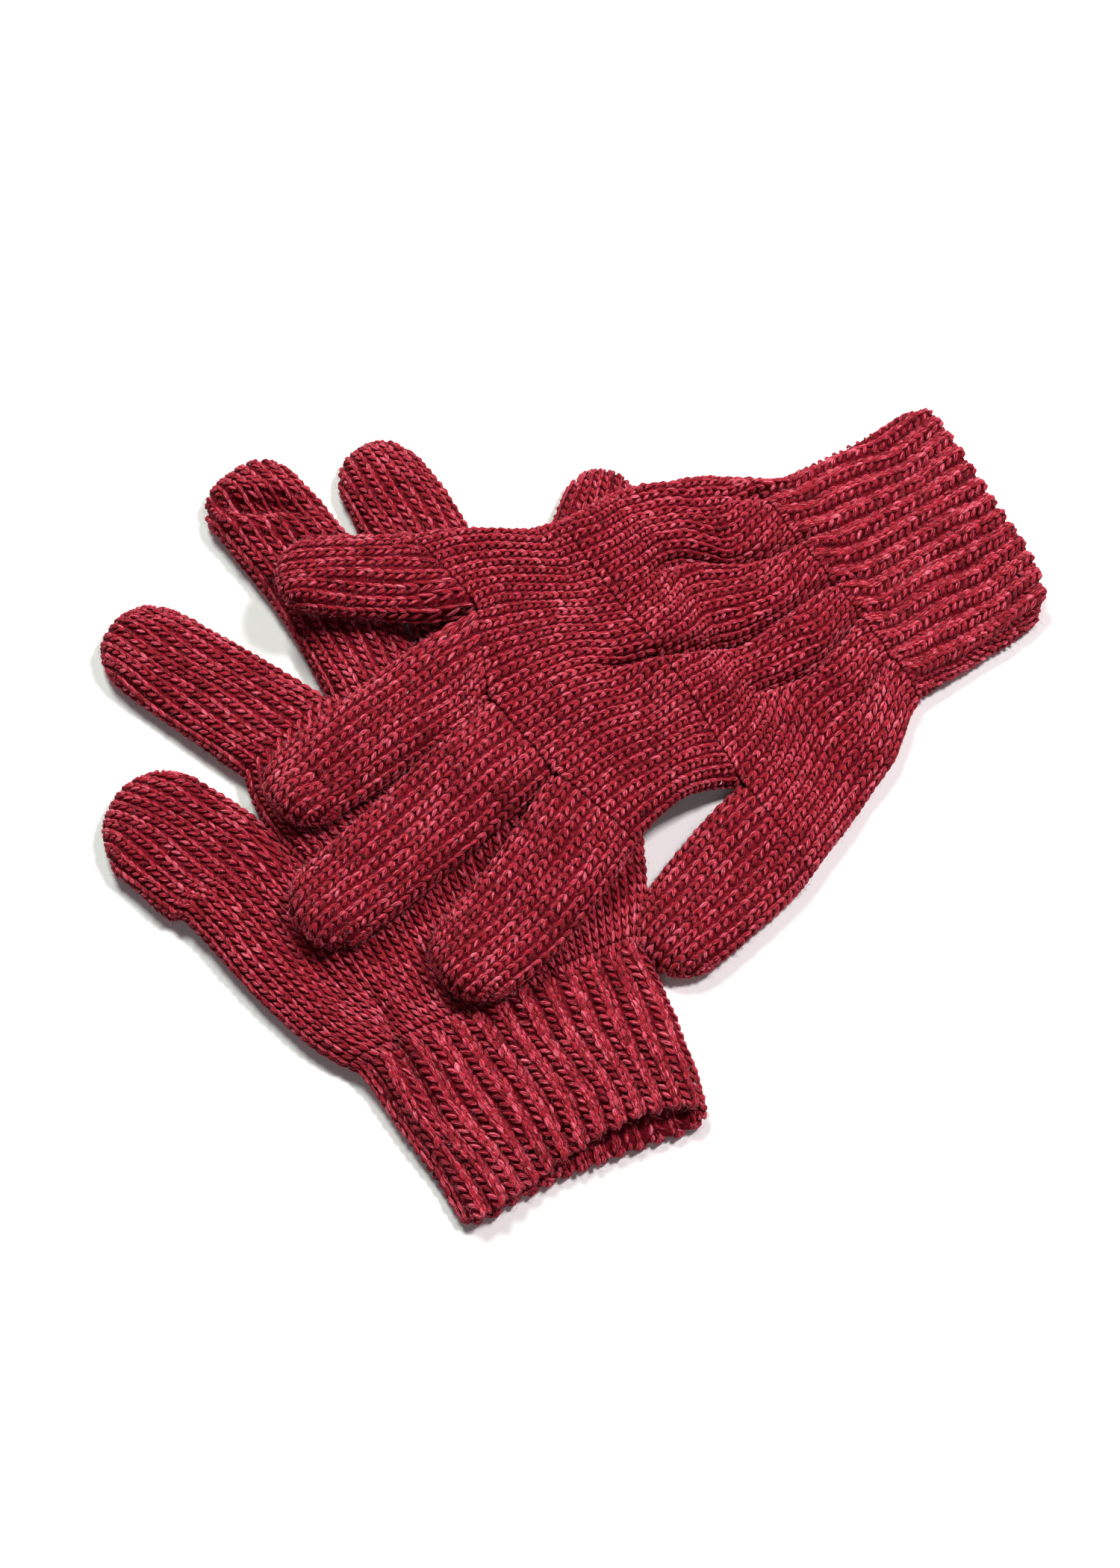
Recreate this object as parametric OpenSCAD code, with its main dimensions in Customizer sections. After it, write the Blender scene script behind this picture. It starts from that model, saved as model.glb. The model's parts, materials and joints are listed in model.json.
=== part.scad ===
// A pair of seamless machine-knitted stretch gloves, one laid crosswise over the other.
// Each glove is built the way the knitting machine builds it: five closed finger tubes,
// a palm tube that four of them open into, a heel tube that also takes in the thumb,
// a ribbed cuff with elastic inlaid behind the ribs, and a turned-in hem.
// Every section is a closed shell with the space for the hand left open inside it.
// In a glove's own plan, u runs across the hand towards the thumb and v runs from the
// wrist line towards the fingertips.

/* [Knit] */
// Thickness of the plain knitted fabric
knit_wall = 2; // [1.6:0.1:2.4]
// Thickness of the ribbed fabric of the cuff
rib_wall = 2.2; // [1.8:0.1:2.6]
// Thickness of the turned-in hem at the mouth of the cuff
hem_wall = 3; // [2.6:0.1:3.4]
// Thickness of one elastic thread
elastic_d = 0.8; // [0.5:0.1:1]

/* [Cuff] */
// Length of the cuff from its mouth to the wrist line
cuff_length = 48; // [36:1:70]
// Flat width of the cuff at its mouth
cuff_mouth_w = 69; // [56:1:80]
// Flat width of the glove at the wrist line
wrist_w = 74; // [60:1:84]
// Height of the cuff as it lies
cuff_h = 11; // [10.6:0.2:14]
// Length of the turned-in hem
hem_length = 5; // [4:0.5:8]
// Number of elastic threads behind the ribs
elastic_count = 6; // [3:1:8]

/* [Hand] */
// Distance from the wrist line to the thumb fork
thumb_fork = 52; // [42:1:62]
// Distance from the thumb fork to the finger forks
palm_length = 39; // [32:1:48]
// Height of the hand and fingers as they lie
hand_h = 9.5; // [9:0.1:11]
// How far the little-finger side of the hand stands out past the cuff just above the wrist
heel_bulge = 10; // [4:0.5:14]
// How far the thumb side of the hand stands out past the cuff just above the wrist
thumb_bulge = 5; // [2:0.5:8]

/* [Fingers] */
// Flat width of the thumb
thumb_w = 31; // [24:0.5:35]
// Flat width of the index finger
index_w = 29; // [22:0.5:34]
// Flat width of the middle finger
middle_w = 27; // [22:0.5:34]
// Flat width of the ring finger
ring_w = 26; // [21:0.5:32]
// Flat width of the little finger
little_w = 24; // [19:0.5:29]
// Length of the thumb from its fork
thumb_length = 49; // [42:1:60]
// Length of the index finger from its fork
index_length = 60; // [52:1:72]
// Length of the middle finger from its fork
middle_length = 77; // [66:1:90]
// Length of the ring finger from its fork
ring_length = 70; // [58:1:80]
// Length of the little finger from its fork
little_length = 43; // [37:1:54]

/* [Fits] */
// Gap between two sections that move against each other, and between the two gloves
gap = 0.4; // [0.3:0.1:0.8]
// Room on each side of a finger at its mouth, so that it folds up clear of the next one
finger_room = 1; // [0.8:0.1:1.5]

/* [Hidden] */

knit_colour = [0.62, 0.09, 0.16];
rib_colour = [0.56, 0.08, 0.15];
elastic_colour = [0.45, 0.06, 0.11];

// Points on each rounded side of a section, on the flat of the hand and of a finger, and stations
// on a rounded fingertip.
arc_steps = 5;
hand_flat_steps = 8;
finger_flat_steps = 1;
tip_steps = 4;
// Stations along a plain stretch of finger.
shaft_steps = 5;

// Fingers in the order thumb, index, middle, ring, little.
THUMB = 0;
INDEX = 1;
MIDDLE = 2;
RING = 3;
LITTLE = 4;
finger_w = [thumb_w, index_w, middle_w, ring_w, little_w];
finger_length = [thumb_length, index_length, middle_length, ring_length, little_length];

// Each glove is [x and y of its wrist, heading, each finger's angle to the thumb side,
// each finger's further turn past its knuckle, how far out the thumb side and the little-finger
// side of the heel are laid, how it lies].
// The frame's origin is under the middle of the pair.
LAID_FLAT = 0;
LAID_OVER = 1;
bottom_glove = [[-20.4, -55.2], 115, [31, 33, 5, 3, -36], [0, 0, 16, 0, 0], [2, -4], LAID_FLAT];
top_glove = [[69.1, 57.8], 214, [16, 17, 10, 5, -30], [0, 0, 0, 0, 0], [0, 0], LAID_OVER];

function wrist_of(g) = g[0];
function heading_of(g) = g[1];
function angle_of(g, finger) = g[2][finger];
function bend_of(g, finger) = g[3][finger];
function thumb_out(g) = g[4][0];
function little_out(g) = g[4][1];
function is_over(g) = g[5] == LAID_OVER;

// ---- The plan of one glove, in its own u and v ----

finger_fork = thumb_fork + palm_length;
// The finger mouths lie side by side along the finger fork line, from the index to the little finger.
palm_u_index = 33;
function mouth_left(finger) =
    finger == INDEX ? palm_u_index : mouth_left(finger - 1) - finger_w[finger - 1];
function mouth_u(g, finger) =
    finger == THUMB ? thumb_u_inner + thumb_out(g) + thumb_w / 2
                    : mouth_left(finger) - finger_w[finger] / 2;
palm_u_little = mouth_left(LITTLE) - little_w;
// At the thumb fork line the palm is a little narrower, and the thumb lies beside it.
palm_taper = 11;
thumb_inset = 3.5;
thumb_u_inner = palm_u_index - thumb_inset;
heel_u_little = palm_u_little + palm_taper;
heel_u_thumb = thumb_u_inner + thumb_w;

function mouth_v(finger) = finger == THUMB ? thumb_fork : finger_fork;

// ---- How high each point lies ----

// The upper glove's cuff and thumb lie on the table. Its hand climbs onto the lower glove, whose
// edge crosses it on a slant, so the climb starts nearer the wrist on the little-finger side.
climb_h = hand_h + gap;
climb_slant = 0.67;
climb_from = 35;
climb_to = 56;
function lie(g, u, v) =
    let (along = v - climb_slant * u)
    is_over(g) ? climb_h * min(1, max(0, (along - climb_from) / (climb_to - climb_from))) : 0;

// Past its mouth a finger keeps the height of its mouth.
// Only the upper glove's little finger rises a little towards its tip.
little_rise = 5;
function finger_lie(g, finger, u, v, share) =
    lie(g, finger == THUMB ? mouth_u(g, THUMB) : u, mouth_v(finger))
    + (is_over(g) && finger == LITTLE ? little_rise * share : 0);

// ---- Sections ----

// One section is a closed loop, flat above and below with round sides. The round sides take at
// most this share of the width, so that some flat is left on the small sections at a fingertip.
round_most = 0.7;
// A station is [u, v, turn, width, height, share of the finger's length].
function loop_points(width, height, flat_steps) =
    let (r = min(height, width * round_most) / 2, flat = width / 2 - r)
    [for (side = [1, -1]) each concat(
        [for (i = [0 : arc_steps])
            let (a = -90 + 180 * i / arc_steps)
            [side * (flat + r * cos(a)), height / 2 + side * height / 2 * sin(a)]],
        [for (i = [1 : flat_steps - 1])
            [side * flat * (1 - 2 * i / flat_steps), height / 2 + side * height / 2]])];

function world(g, u, v, z) =
    let (h = heading_of(g))
    [wrist_of(g)[0] + v * cos(h) - u * sin(h), wrist_of(g)[1] + v * sin(h) + u * cos(h), z];

// The loop's points in the world, taken in by inset on every side.
function ring(g, finger, s, inset) =
    let (flat_steps = finger < 0 ? hand_flat_steps : finger_flat_steps)
    [for (p = loop_points(s[3] - 2 * inset, s[4] - 2 * inset, flat_steps))
        let (u = s[0] + p[0] * cos(s[2]), v = s[1] - p[0] * sin(s[2]))
        world(g, u, v, inset + p[1]
            + (finger < 0 ? lie(g, u, v) : finger_lie(g, finger, u, v, s[5])))];

// Two triangles for each side of a strip between two loops that start at points a and b.
function strip(a, b, n, flip) =
    [for (i = [0 : n - 1])
        let (j = (i + 1) % n)
        each flip ? [[a + i, b + i, a + j], [a + j, b + i, b + j]]
                  : [[a + i, a + j, b + i], [a + j, b + j, b + i]]];
function fan(a, n, flip) =
    [for (i = [1 : n - 2]) flip ? [a, a + i + 1, a + i] : [a, a + i, a + i + 1]];

// A knitted tube: outer loops, inner loops, and either an open or a closed far end.
module tube(outer, inner, closed) {
    n = len(outer[0]);
    a = len(outer);
    b = len(inner);
    first_inner = a * n;
    faces = [
        for (k = [0 : a - 2]) each strip(k * n, (k + 1) * n, n, false),
        for (k = [0 : b - 2]) each strip(first_inner + k * n, first_inner + (k + 1) * n, n, true),
        each strip(0, first_inner, n, true),
        each closed ? fan((a - 1) * n, n, false) : strip((a - 1) * n, first_inner + (b - 1) * n, n, false),
        each closed ? fan(first_inner + (b - 1) * n, n, true) : []
    ];
    polyhedron([for (loop = concat(outer, inner)) each loop], faces, convexity = 6);
}

module hand_tube(g, stations, wall) {
    tube([for (s = stations) ring(g, -1, s, 0)], [for (s = stations) ring(g, -1, s, wall)], false);
}

// ---- Cuff ----

// The cuff comes down to the height of the hand over this length.
rib_run = 12;
function cuff_station(v) =
    [0, v, 0, mix(wrist_w, cuff_mouth_w, -v / cuff_length),
     mix(cuff_h, hand_h, max(0, 1 + v / rib_run)), 0];
rib_start = -cuff_length + hem_length;

module cuff_hem(g) color(rib_colour)
    hand_tube(g, [cuff_station(-cuff_length), cuff_station(rib_start)], hem_wall);

rib_lead = 10;
module cuff_rib(g) color(rib_colour)
    hand_tube(g, [for (v = [rib_start, -rib_run - rib_lead, -rib_run, -rib_run / 2, 0]) cuff_station(v)],
        rib_wall);

// Elastic threads lie against the inside of the rib, one loop each.
module cuff_elastic(g) color(elastic_colour)
    for (i = [1 : elastic_count])
        let (v = rib_start + (-rib_run - rib_start) * i / (elastic_count + 1))
        tube([for (s = [0, elastic_d]) ring(g, -1, cuff_station(v + s), rib_wall)],
             [for (s = [0, elastic_d]) ring(g, -1, cuff_station(v + s), rib_wall + elastic_d)], false);

// ---- Hand ----

// A hand station runs from one side of the hand to the other at v.
function hand_station(v, u_thumb, u_little) =
    [(u_thumb + u_little) / 2, v, 0, u_thumb - u_little, hand_h, 0];
function mix(a, b, t) = a + (b - a) * t;

heel_shares = [0, 0.08, 0.16, 0.25, 0.4, 0.55, 0.7, 0.85, 1];
// The hand stands out fully past the cuff at this share of the heel, and the stand fades out after it.
bulge_share = 0.25;
function stand_out(t) = min(1, t / bulge_share) * (1 - t);
module palm_heel(g) color(knit_colour)
    hand_tube(g, [for (t = heel_shares)
        hand_station(thumb_fork * t,
            mix(wrist_w / 2, heel_u_thumb + thumb_out(g), t) + thumb_bulge * stand_out(t),
            mix(-wrist_w / 2, heel_u_little, t) - (heel_bulge + little_out(g)) * stand_out(t))], knit_wall);

module palm(g) color(knit_colour)
    hand_tube(g, [for (t = [0 : 0.2 : 1])
        hand_station(thumb_fork + palm_length * t, mix(thumb_u_inner - gap, palm_u_index, t),
            mix(heel_u_little, palm_u_little, t))], knit_wall);

// A few stitches join the back to the front at each fork, inside the mouth of the tube below it.
stitch_w = 2.6;
stitch_l = 2.4;
module fork_stitch(g, u, v_end) {
    stations = [for (v = [v_end - stitch_l - gap, v_end - gap])
        [u, v, 0, stitch_w, hand_h - 2 * knit_wall, 0]];
    n = 4;
    rings = [for (s = stations) [for (c = [[-1, 0], [1, 0], [1, 1], [-1, 1]])
        let (pu = s[0] + c[0] * s[3] / 2)
        world(g, pu, s[1], knit_wall + c[1] * s[4] + lie(g, pu, s[1]))]];
    polyhedron([for (r = rings) each r],
        [each strip(0, n, n, false), each fan(0, n, true), each fan(n, n, false)], convexity = 2);
}
module fork_stitches(g) color(rib_colour) {
    fork_stitch(g, thumb_u_inner + thumb_out(g) + stitch_w / 2, thumb_fork);
    for (finger = [MIDDLE : LITTLE]) fork_stitch(g, mouth_left(finger), finger_fork);
}

// ---- Fingers ----

// The section line turns from the fork line to square across the finger over the first fifth of it.
turn_share = 0.2;
tip_narrow = 0.86;
function finger_at(g, finger, d) =
    let (length = finger_length[finger], a = angle_of(g, finger), share = d / length,
         bent = max(0, d - knuckle[finger]), b = a + bend_of(g, finger) * min(1, bent / bend_run),
         w = (finger_w[finger] - 2 * finger_room) * (1 - (1 - tip_narrow) * share))
    [mouth_u(g, finger) + (d - bent) * sin(a) + bent * sin(b),
     mouth_v(finger) + (d - bent) * cos(a) + bent * cos(b),
     a * min(1, max(0, d - gap) / length / turn_share) + b - a, w, hand_h, share];

// The tip is rounded through this angle and closed with a small flat end.
tip_turn = 78;
function tip_radius(finger) = finger_w[finger] * tip_narrow / 2;
// The tip comes down to this share of the finger's height.
tip_low = 0.3;
// The shaft's last loop stands this far short of the rounding.
tip_lead = 1;

// The round end of a finger, for a wall taken in by inset.
function tip_at(g, finger, inset, i) =
    let (length = finger_length[finger], r = tip_radius(finger) - inset,
         a = tip_turn * i / tip_steps, s = finger_at(g, finger, length - inset - r + r * sin(a)))
    [s[0], s[1], s[2], (s[3] - 2 * inset) * cos(a) + 2 * inset,
     (s[4] - 2 * inset) * mix(tip_low, 1, cos(a)) + 2 * inset, s[5]];
// A closing section is lower than the finger, so it is lifted to stay on the finger's mid height.
function tip_ring(g, finger, s, inset) =
    [for (p = ring(g, finger, s, inset)) [p[0], p[1], p[2] + (hand_h - s[4]) / 2]];

function shaft_end(finger) = finger_length[finger] - tip_radius(finger);
function shaft(g, finger, from, to, inset) =
    [for (i = [0 : shaft_steps])
        ring(g, finger, finger_at(g, finger, mix(from, to, i / shaft_steps)), inset)];

// The shaft of a finger between two distances from its mouth, open at both ends.
module finger_shaft(g, finger, from, to) color(knit_colour)
    tube(shaft(g, finger, from, to, 0), shaft(g, finger, from, to, knit_wall), false);

// The rest of a finger from a distance, closed at the tip.
module finger_end(g, finger, from) color(knit_colour)
    tube(concat(shaft(g, finger, from, shaft_end(finger) - tip_lead, 0),
                [for (i = [0 : tip_steps]) tip_ring(g, finger, tip_at(g, finger, 0, i), 0)]),
         concat(shaft(g, finger, from, shaft_end(finger) - tip_lead, knit_wall),
                [for (i = [0 : tip_steps]) tip_ring(g, finger, tip_at(g, finger, knit_wall, i), knit_wall)]),
         true);

// The lower glove is held down by the upper one, so its fingers bend where they come out from under it.
// The bend at a knuckle takes this length of the finger.
knuckle = [20, 27, 47, 51, 46];
bend_run = 12;
module pinned_base(finger) finger_shaft(bottom_glove, finger, 0, knuckle[finger] - gap);
module pinned_end(finger) finger_end(bottom_glove, finger, knuckle[finger]);
// The upper glove's fingers bend at their forks.
module free_finger(finger) finger_end(top_glove, finger, gap);

cuff_hem(bottom_glove);  // bottom_cuff_hem
cuff_rib(bottom_glove);  // bottom_cuff_rib
cuff_elastic(bottom_glove);  // bottom_cuff_elastic
palm_heel(bottom_glove);  // bottom_palm_heel
palm(bottom_glove);  // bottom_palm
fork_stitches(bottom_glove);  // bottom_fork_stitches
pinned_base(THUMB);  // bottom_thumb_base
pinned_end(THUMB);  // bottom_thumb_end
pinned_base(INDEX);  // bottom_index_base
pinned_end(INDEX);  // bottom_index_end
pinned_base(MIDDLE);  // bottom_middle_base
pinned_end(MIDDLE);  // bottom_middle_end
pinned_base(RING);  // bottom_ring_base
pinned_end(RING);  // bottom_ring_end
finger_end(bottom_glove, LITTLE, 0);  // bottom_little
cuff_hem(top_glove);  // top_cuff_hem
cuff_rib(top_glove);  // top_cuff_rib
cuff_elastic(top_glove);  // top_cuff_elastic
palm_heel(top_glove);  // top_palm_heel
palm(top_glove);  // top_palm
fork_stitches(top_glove);  // top_fork_stitches
free_finger(THUMB);  // top_thumb
free_finger(INDEX);  // top_index
free_finger(MIDDLE);  // top_middle
free_finger(RING);  // top_ring
free_finger(LITTLE);  // top_little
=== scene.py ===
"""A pair of plain machine-knitted stretch gloves, one laid crosswise over the other.

Each glove is knitted here the way it is made: every stitch of the plain fabric and of the
ribbed cuff is its own V of two yarn legs, laid on a sheet that has the shape of the glove.
All sizes are in millimetres in a glove's own plan until a piece is placed in the frame:
along runs from the wrist to the fingertips, across runs towards the thumb, and up is up.
"""

import json
import logging
import math
from dataclasses import dataclass, field
from enum import Enum
from typing import Any, Callable, Optional

import bpy
import numpy as np
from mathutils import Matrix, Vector

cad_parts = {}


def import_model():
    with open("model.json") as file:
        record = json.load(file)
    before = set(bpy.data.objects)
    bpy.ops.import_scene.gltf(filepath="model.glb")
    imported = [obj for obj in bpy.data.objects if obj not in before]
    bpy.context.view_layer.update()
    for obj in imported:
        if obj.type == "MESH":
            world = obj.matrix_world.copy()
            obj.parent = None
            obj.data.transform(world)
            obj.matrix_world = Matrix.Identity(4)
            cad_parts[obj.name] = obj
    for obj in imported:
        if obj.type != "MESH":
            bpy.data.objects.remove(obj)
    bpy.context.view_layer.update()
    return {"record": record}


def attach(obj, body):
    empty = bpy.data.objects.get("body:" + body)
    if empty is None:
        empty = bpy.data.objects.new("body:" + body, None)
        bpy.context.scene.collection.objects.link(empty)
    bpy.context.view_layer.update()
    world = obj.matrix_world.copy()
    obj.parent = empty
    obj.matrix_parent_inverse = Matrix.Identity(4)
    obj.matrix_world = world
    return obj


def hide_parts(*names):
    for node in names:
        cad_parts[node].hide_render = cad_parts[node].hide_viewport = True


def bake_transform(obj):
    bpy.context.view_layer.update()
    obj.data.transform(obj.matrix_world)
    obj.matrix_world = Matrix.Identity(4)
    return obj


LOG = logging.getLogger("gloves")
MM = 0.001
Points = tuple[tuple[float, float], ...]


class Side(Enum):
    """Which glove of the pair."""

    LOWER = "bottom"
    UPPER = "top"


class Finger(Enum):
    """The five fingers."""

    THUMB = "thumb"
    INDEX = "index"
    MIDDLE = "middle"
    RING = "ring"
    LITTLE = "little"


def linear(code: str) -> tuple[float, float, float, float]:
    """Turns an sRGB hex value to a linear colour.

    Args:
        code: six hex digits.

    Returns:
        Red, green, blue and alpha.
    """
    parts = [int(code[i:i + 2], 16) / 255 for i in (0, 2, 4)]
    red, green, blue = (c / 12.92 if c <= 0.04045 else ((c + 0.055) / 1.055) ** 2.4 for c in parts)
    return red, green, blue, 1.0


def smooth(value: np.ndarray, start: float, end: float) -> np.ndarray:
    """Eases from 0 at start to 1 at end.

    Args:
        value: where to ease.
        start: where the result is 0.
        end: where the result is 1.

    Returns:
        The eased value.
    """
    t = np.clip((value - start) / (end - start), 0, 1)
    return t * t * (3 - 2 * t)


def puff(distance: np.ndarray, rounding: float) -> np.ndarray:
    """Height of a soft edge, as a share of the full height.

    Args:
        distance: distance in from the edge.
        rounding: distance over which the edge rounds up to the full height.

    Returns:
        0 at the edge, 1 past the rounding.
    """
    return np.sqrt(np.clip(1 - (1 - np.clip(distance / rounding, 0, 1)) ** 2, 0, 1))


def along_line(line: Points, key: np.ndarray) -> np.ndarray:
    """Reads a drawn line of (key, value) points.

    Args:
        line: the points, in any order.
        key: where to read it.

    Returns:
        The values there.
    """
    rows = sorted(line)
    return np.interp(key, [r[0] for r in rows], [r[1] for r in rows])


def on_path(distance: np.ndarray, run: np.ndarray, values: np.ndarray) -> np.ndarray:
    """Reads pairs of values along a path.

    Args:
        distance: where to read them.
        run: the distance at which each pair stands.
        values: the pairs, n x 2.

    Returns:
        The pairs there, ... x 2.
    """
    return np.stack([np.interp(distance, run, values[:, i]) for i in (0, 1)], axis=-1)


def run_of(points: np.ndarray) -> np.ndarray:
    """Distance along a line of points, at each of them."""
    return np.concatenate([[0], np.cumsum(np.linalg.norm(np.diff(points, axis=0), axis=1))])


# ---- Materials ----


def add_node(
    tree: bpy.types.NodeTree,
    kind: str,
    settings: Optional[dict[str, Any]] = None,
    links: Optional[dict[Any, Any]] = None,
) -> bpy.types.Node:
    """Adds a node with its settings and links.

    Args:
        tree: the node tree.
        kind: the node's type name.
        settings: values for its properties, or for its inputs where the key is an input.
        links: the output that feeds each input.

    Returns:
        The new node.
    """
    node = tree.nodes.new(kind)
    for key, value in (settings or {}).items():
        if isinstance(key, str) and hasattr(node, key):
            setattr(node, key, value)
        else:
            node.inputs[key].default_value = value
    for key, output in (links or {}).items():
        tree.links.new(output, node.inputs[key])
    return node


@dataclass(frozen=True)
class Finish:
    """A finish with a name of its own."""

    name: str

    def blank(self) -> bpy.types.Material:
        """Makes its material, with no nodes yet."""
        material = bpy.data.materials.new(self.name)
        material.use_nodes = True
        material.node_tree.nodes.clear()
        return material


@dataclass(frozen=True)
class HeatheredYarn(Finish):
    """Two-ply wool-mix yarn, carded from fibres of several reds, so that it looks heathered.

    The strand attribute winds round and along each yarn leg, 1 unit to about 0.9 mm round it,
    so a streak of noise stretched along it reads as a lock of fibres 0.1 to 0.2 mm wide.
    Its pale streaks are partly pale fibres and partly painted highlights, thin glints along the fibres.
    """

    dark: str = "46040D"
    body: str = "940A1C"
    light: str = "C11B36"
    # Pale streak colour: partly pale fibres, partly a painted highlight along the fibres.
    pale: str = "EE7E92"
    sheen: float = 0.16
    bump_mm: float = 0.3
    streak_scale: float = 4.4

    def make(self) -> bpy.types.Material:
        """Builds the yarn's material.

        Returns:
            The material.
        """
        material = self.blank()
        tree = material.node_tree
        strand = add_node(tree, "ShaderNodeAttribute", {"attribute_name": "strand"})
        heather = add_node(tree, "ShaderNodeAttribute", {"attribute_name": "heather"})
        streaks = add_node(
            tree, "ShaderNodeTexNoise",
            {"Scale": self.streak_scale, "Detail": 3.0, "Roughness": 0.62},
            {"Vector": strand.outputs["Vector"]},
        )
        # Heather shifts a whole leg towards its darker or paler fibres.
        shifted = add_node(
            tree, "ShaderNodeMath", {"operation": "MULTIPLY_ADD", 1: 0.06},
            {0: heather.outputs["Fac"], 2: streaks.outputs["Fac"]},
        )
        ramp = add_node(tree, "ShaderNodeValToRGB", {}, {"Fac": shifted.outputs["Value"]})
        # Most streaks lie between body and light; dark ones are odd locks of fibre, and the pale ones
        # are partly pale fibres and partly painted highlights along the fibres.
        stops = ((0.36, self.dark), (0.48, self.body), (0.565, self.light), (0.65, self.pale))
        elements = ramp.color_ramp.elements
        elements[0].position, elements[1].position = stops[0][0], stops[-1][0]
        for place, _ in stops[1:-1]:
            elements.new(place)
        for element, (place, code) in zip(elements, stops):
            element.position, element.color = place, linear(code)
        bump = add_node(
            tree, "ShaderNodeBump", {"Strength": 0.9, "Distance": self.bump_mm * MM},
            {"Height": streaks.outputs["Fac"]},
        )
        shader = add_node(
            tree, "ShaderNodeBsdfPrincipled",
            {"Roughness": 0.82, "IOR": 1.45, "Specular IOR Level": 0.2, "Sheen Weight": self.sheen,
             "Sheen Roughness": 0.45, "Sheen Tint": linear("F2A0AC")},
            {"Base Color": ramp.outputs["Color"], "Normal": bump.outputs["Normal"]},
        )
        add_node(tree, "ShaderNodeOutputMaterial", {}, {"Surface": shader.outputs["BSDF"]})
        return material


@dataclass(frozen=True)
class FabricBack(Finish):
    """The reverse side of the same fabric, seen only between stitches and inside the cuff.

    Purl loops about 2.5 mm apart give it a faint ripple, and little light reaches it.
    Its colours are painted shade: the yarn is painted darker all over, and darkest in the ripple's hollows.
    """

    # Painted shade: both colours are the yarn darkened, and the first, for the ripple's hollows, is darker
    # still.
    hollow_shade: str = "42060F"
    loop: str = "821021"

    def make(self) -> bpy.types.Material:
        """Builds the fabric back's material.

        Returns:
            The material.
        """
        material = self.blank()
        tree = material.node_tree
        place = add_node(tree, "ShaderNodeTexCoord")
        # 2.5 mm loops are 400 to the metre, and fibres within them about a third of that.
        loops = add_node(
            tree, "ShaderNodeTexNoise", {"Scale": 900.0, "Detail": 3.0, "Roughness": 0.6},
            {"Vector": place.outputs["Object"]},
        )
        # The ramp paints shade into the low places of the same noise that the bump lowers.
        ramp = add_node(tree, "ShaderNodeValToRGB", {}, {"Fac": loops.outputs["Fac"]})
        elements = ramp.color_ramp.elements
        elements[0].position, elements[0].color = 0.35, linear(self.hollow_shade)
        elements[1].position, elements[1].color = 0.7, linear(self.loop)
        bump = add_node(
            tree, "ShaderNodeBump", {"Strength": 0.8, "Distance": 0.4 * MM},
            {"Height": loops.outputs["Fac"]},
        )
        shader = add_node(
            tree, "ShaderNodeBsdfPrincipled",
            {"Roughness": 0.95, "Specular IOR Level": 0.1},
            {"Base Color": ramp.outputs["Color"], "Normal": bump.outputs["Normal"]},
        )
        add_node(tree, "ShaderNodeOutputMaterial", {}, {"Surface": shader.outputs["BSDF"]})
        return material


@dataclass(frozen=True)
class LooseFibre(Finish):
    """Single wool fibres that stand off the yarn and give the edges their soft halo.

    One fibre is about 0.03 mm thick, too fine to show, so it is drawn 0.05 to 0.09 mm thick.
    A few of them are near-white specks of lint that the wool has picked up.
    """

    root: str = "8E1E30"
    tip: str = "D0707F"
    lint: str = "EADCDC"

    def make(self) -> bpy.types.Material:
        """Builds the fibre's material.

        Returns:
            The material.
        """
        material = self.blank()
        tree = material.node_tree
        heather = add_node(tree, "ShaderNodeAttribute", {"attribute_name": "heather"})
        ramp = add_node(tree, "ShaderNodeValToRGB", {}, {"Fac": heather.outputs["Fac"]})
        elements = ramp.color_ramp.elements
        elements[0].color, elements[1].color = linear(self.root), linear(self.lint)
        elements.new(0.9).color = linear(self.tip)
        shader = add_node(
            tree, "ShaderNodeBsdfPrincipled",
            {"Roughness": 0.6, "Sheen Weight": 0.4, "Sheen Tint": linear("FFD0D6")},
            {"Base Color": ramp.outputs["Color"]},
        )
        add_node(tree, "ShaderNodeOutputMaterial", {}, {"Surface": shader.outputs["BSDF"]})
        return material


@dataclass
class Finishes:
    """The finishes of both gloves, in the order of a piece's material slots."""

    plain: bpy.types.Material
    rib: bpy.types.Material
    darning: bpy.types.Material
    elastic: bpy.types.Material
    back: bpy.types.Material
    fibre: bpy.types.Material

    @classmethod
    def build(cls) -> "Finishes":
        """Builds every finish once.

        Returns:
            The finishes.
        """
        return cls(
            HeatheredYarn("heathered_wool_mix_plain").make(),
            HeatheredYarn("heathered_wool_mix_rib", dark="40050E", body="90101F").make(),
            HeatheredYarn("heathered_wool_mix_darning", dark="30050B", body="7A0E1C").make(),
            # The elastic's pale streaks are also partly painted highlights, duller than the wool's.
            HeatheredYarn("covered_elastic_thread", light="9A2537", pale="B04455", sheen=0.1).make(),
            # The fabric back's material is the yarn in painted shade.
            FabricBack("knitted_fabric_back_painted_shade").make(),
            LooseFibre("loose_wool_fibre").make(),
        )


# ---- Yarn ----

# Length of the streaks' pattern along one strand, against 0.75 for its radius round it.
STREAK_RUN = 0.272


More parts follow.
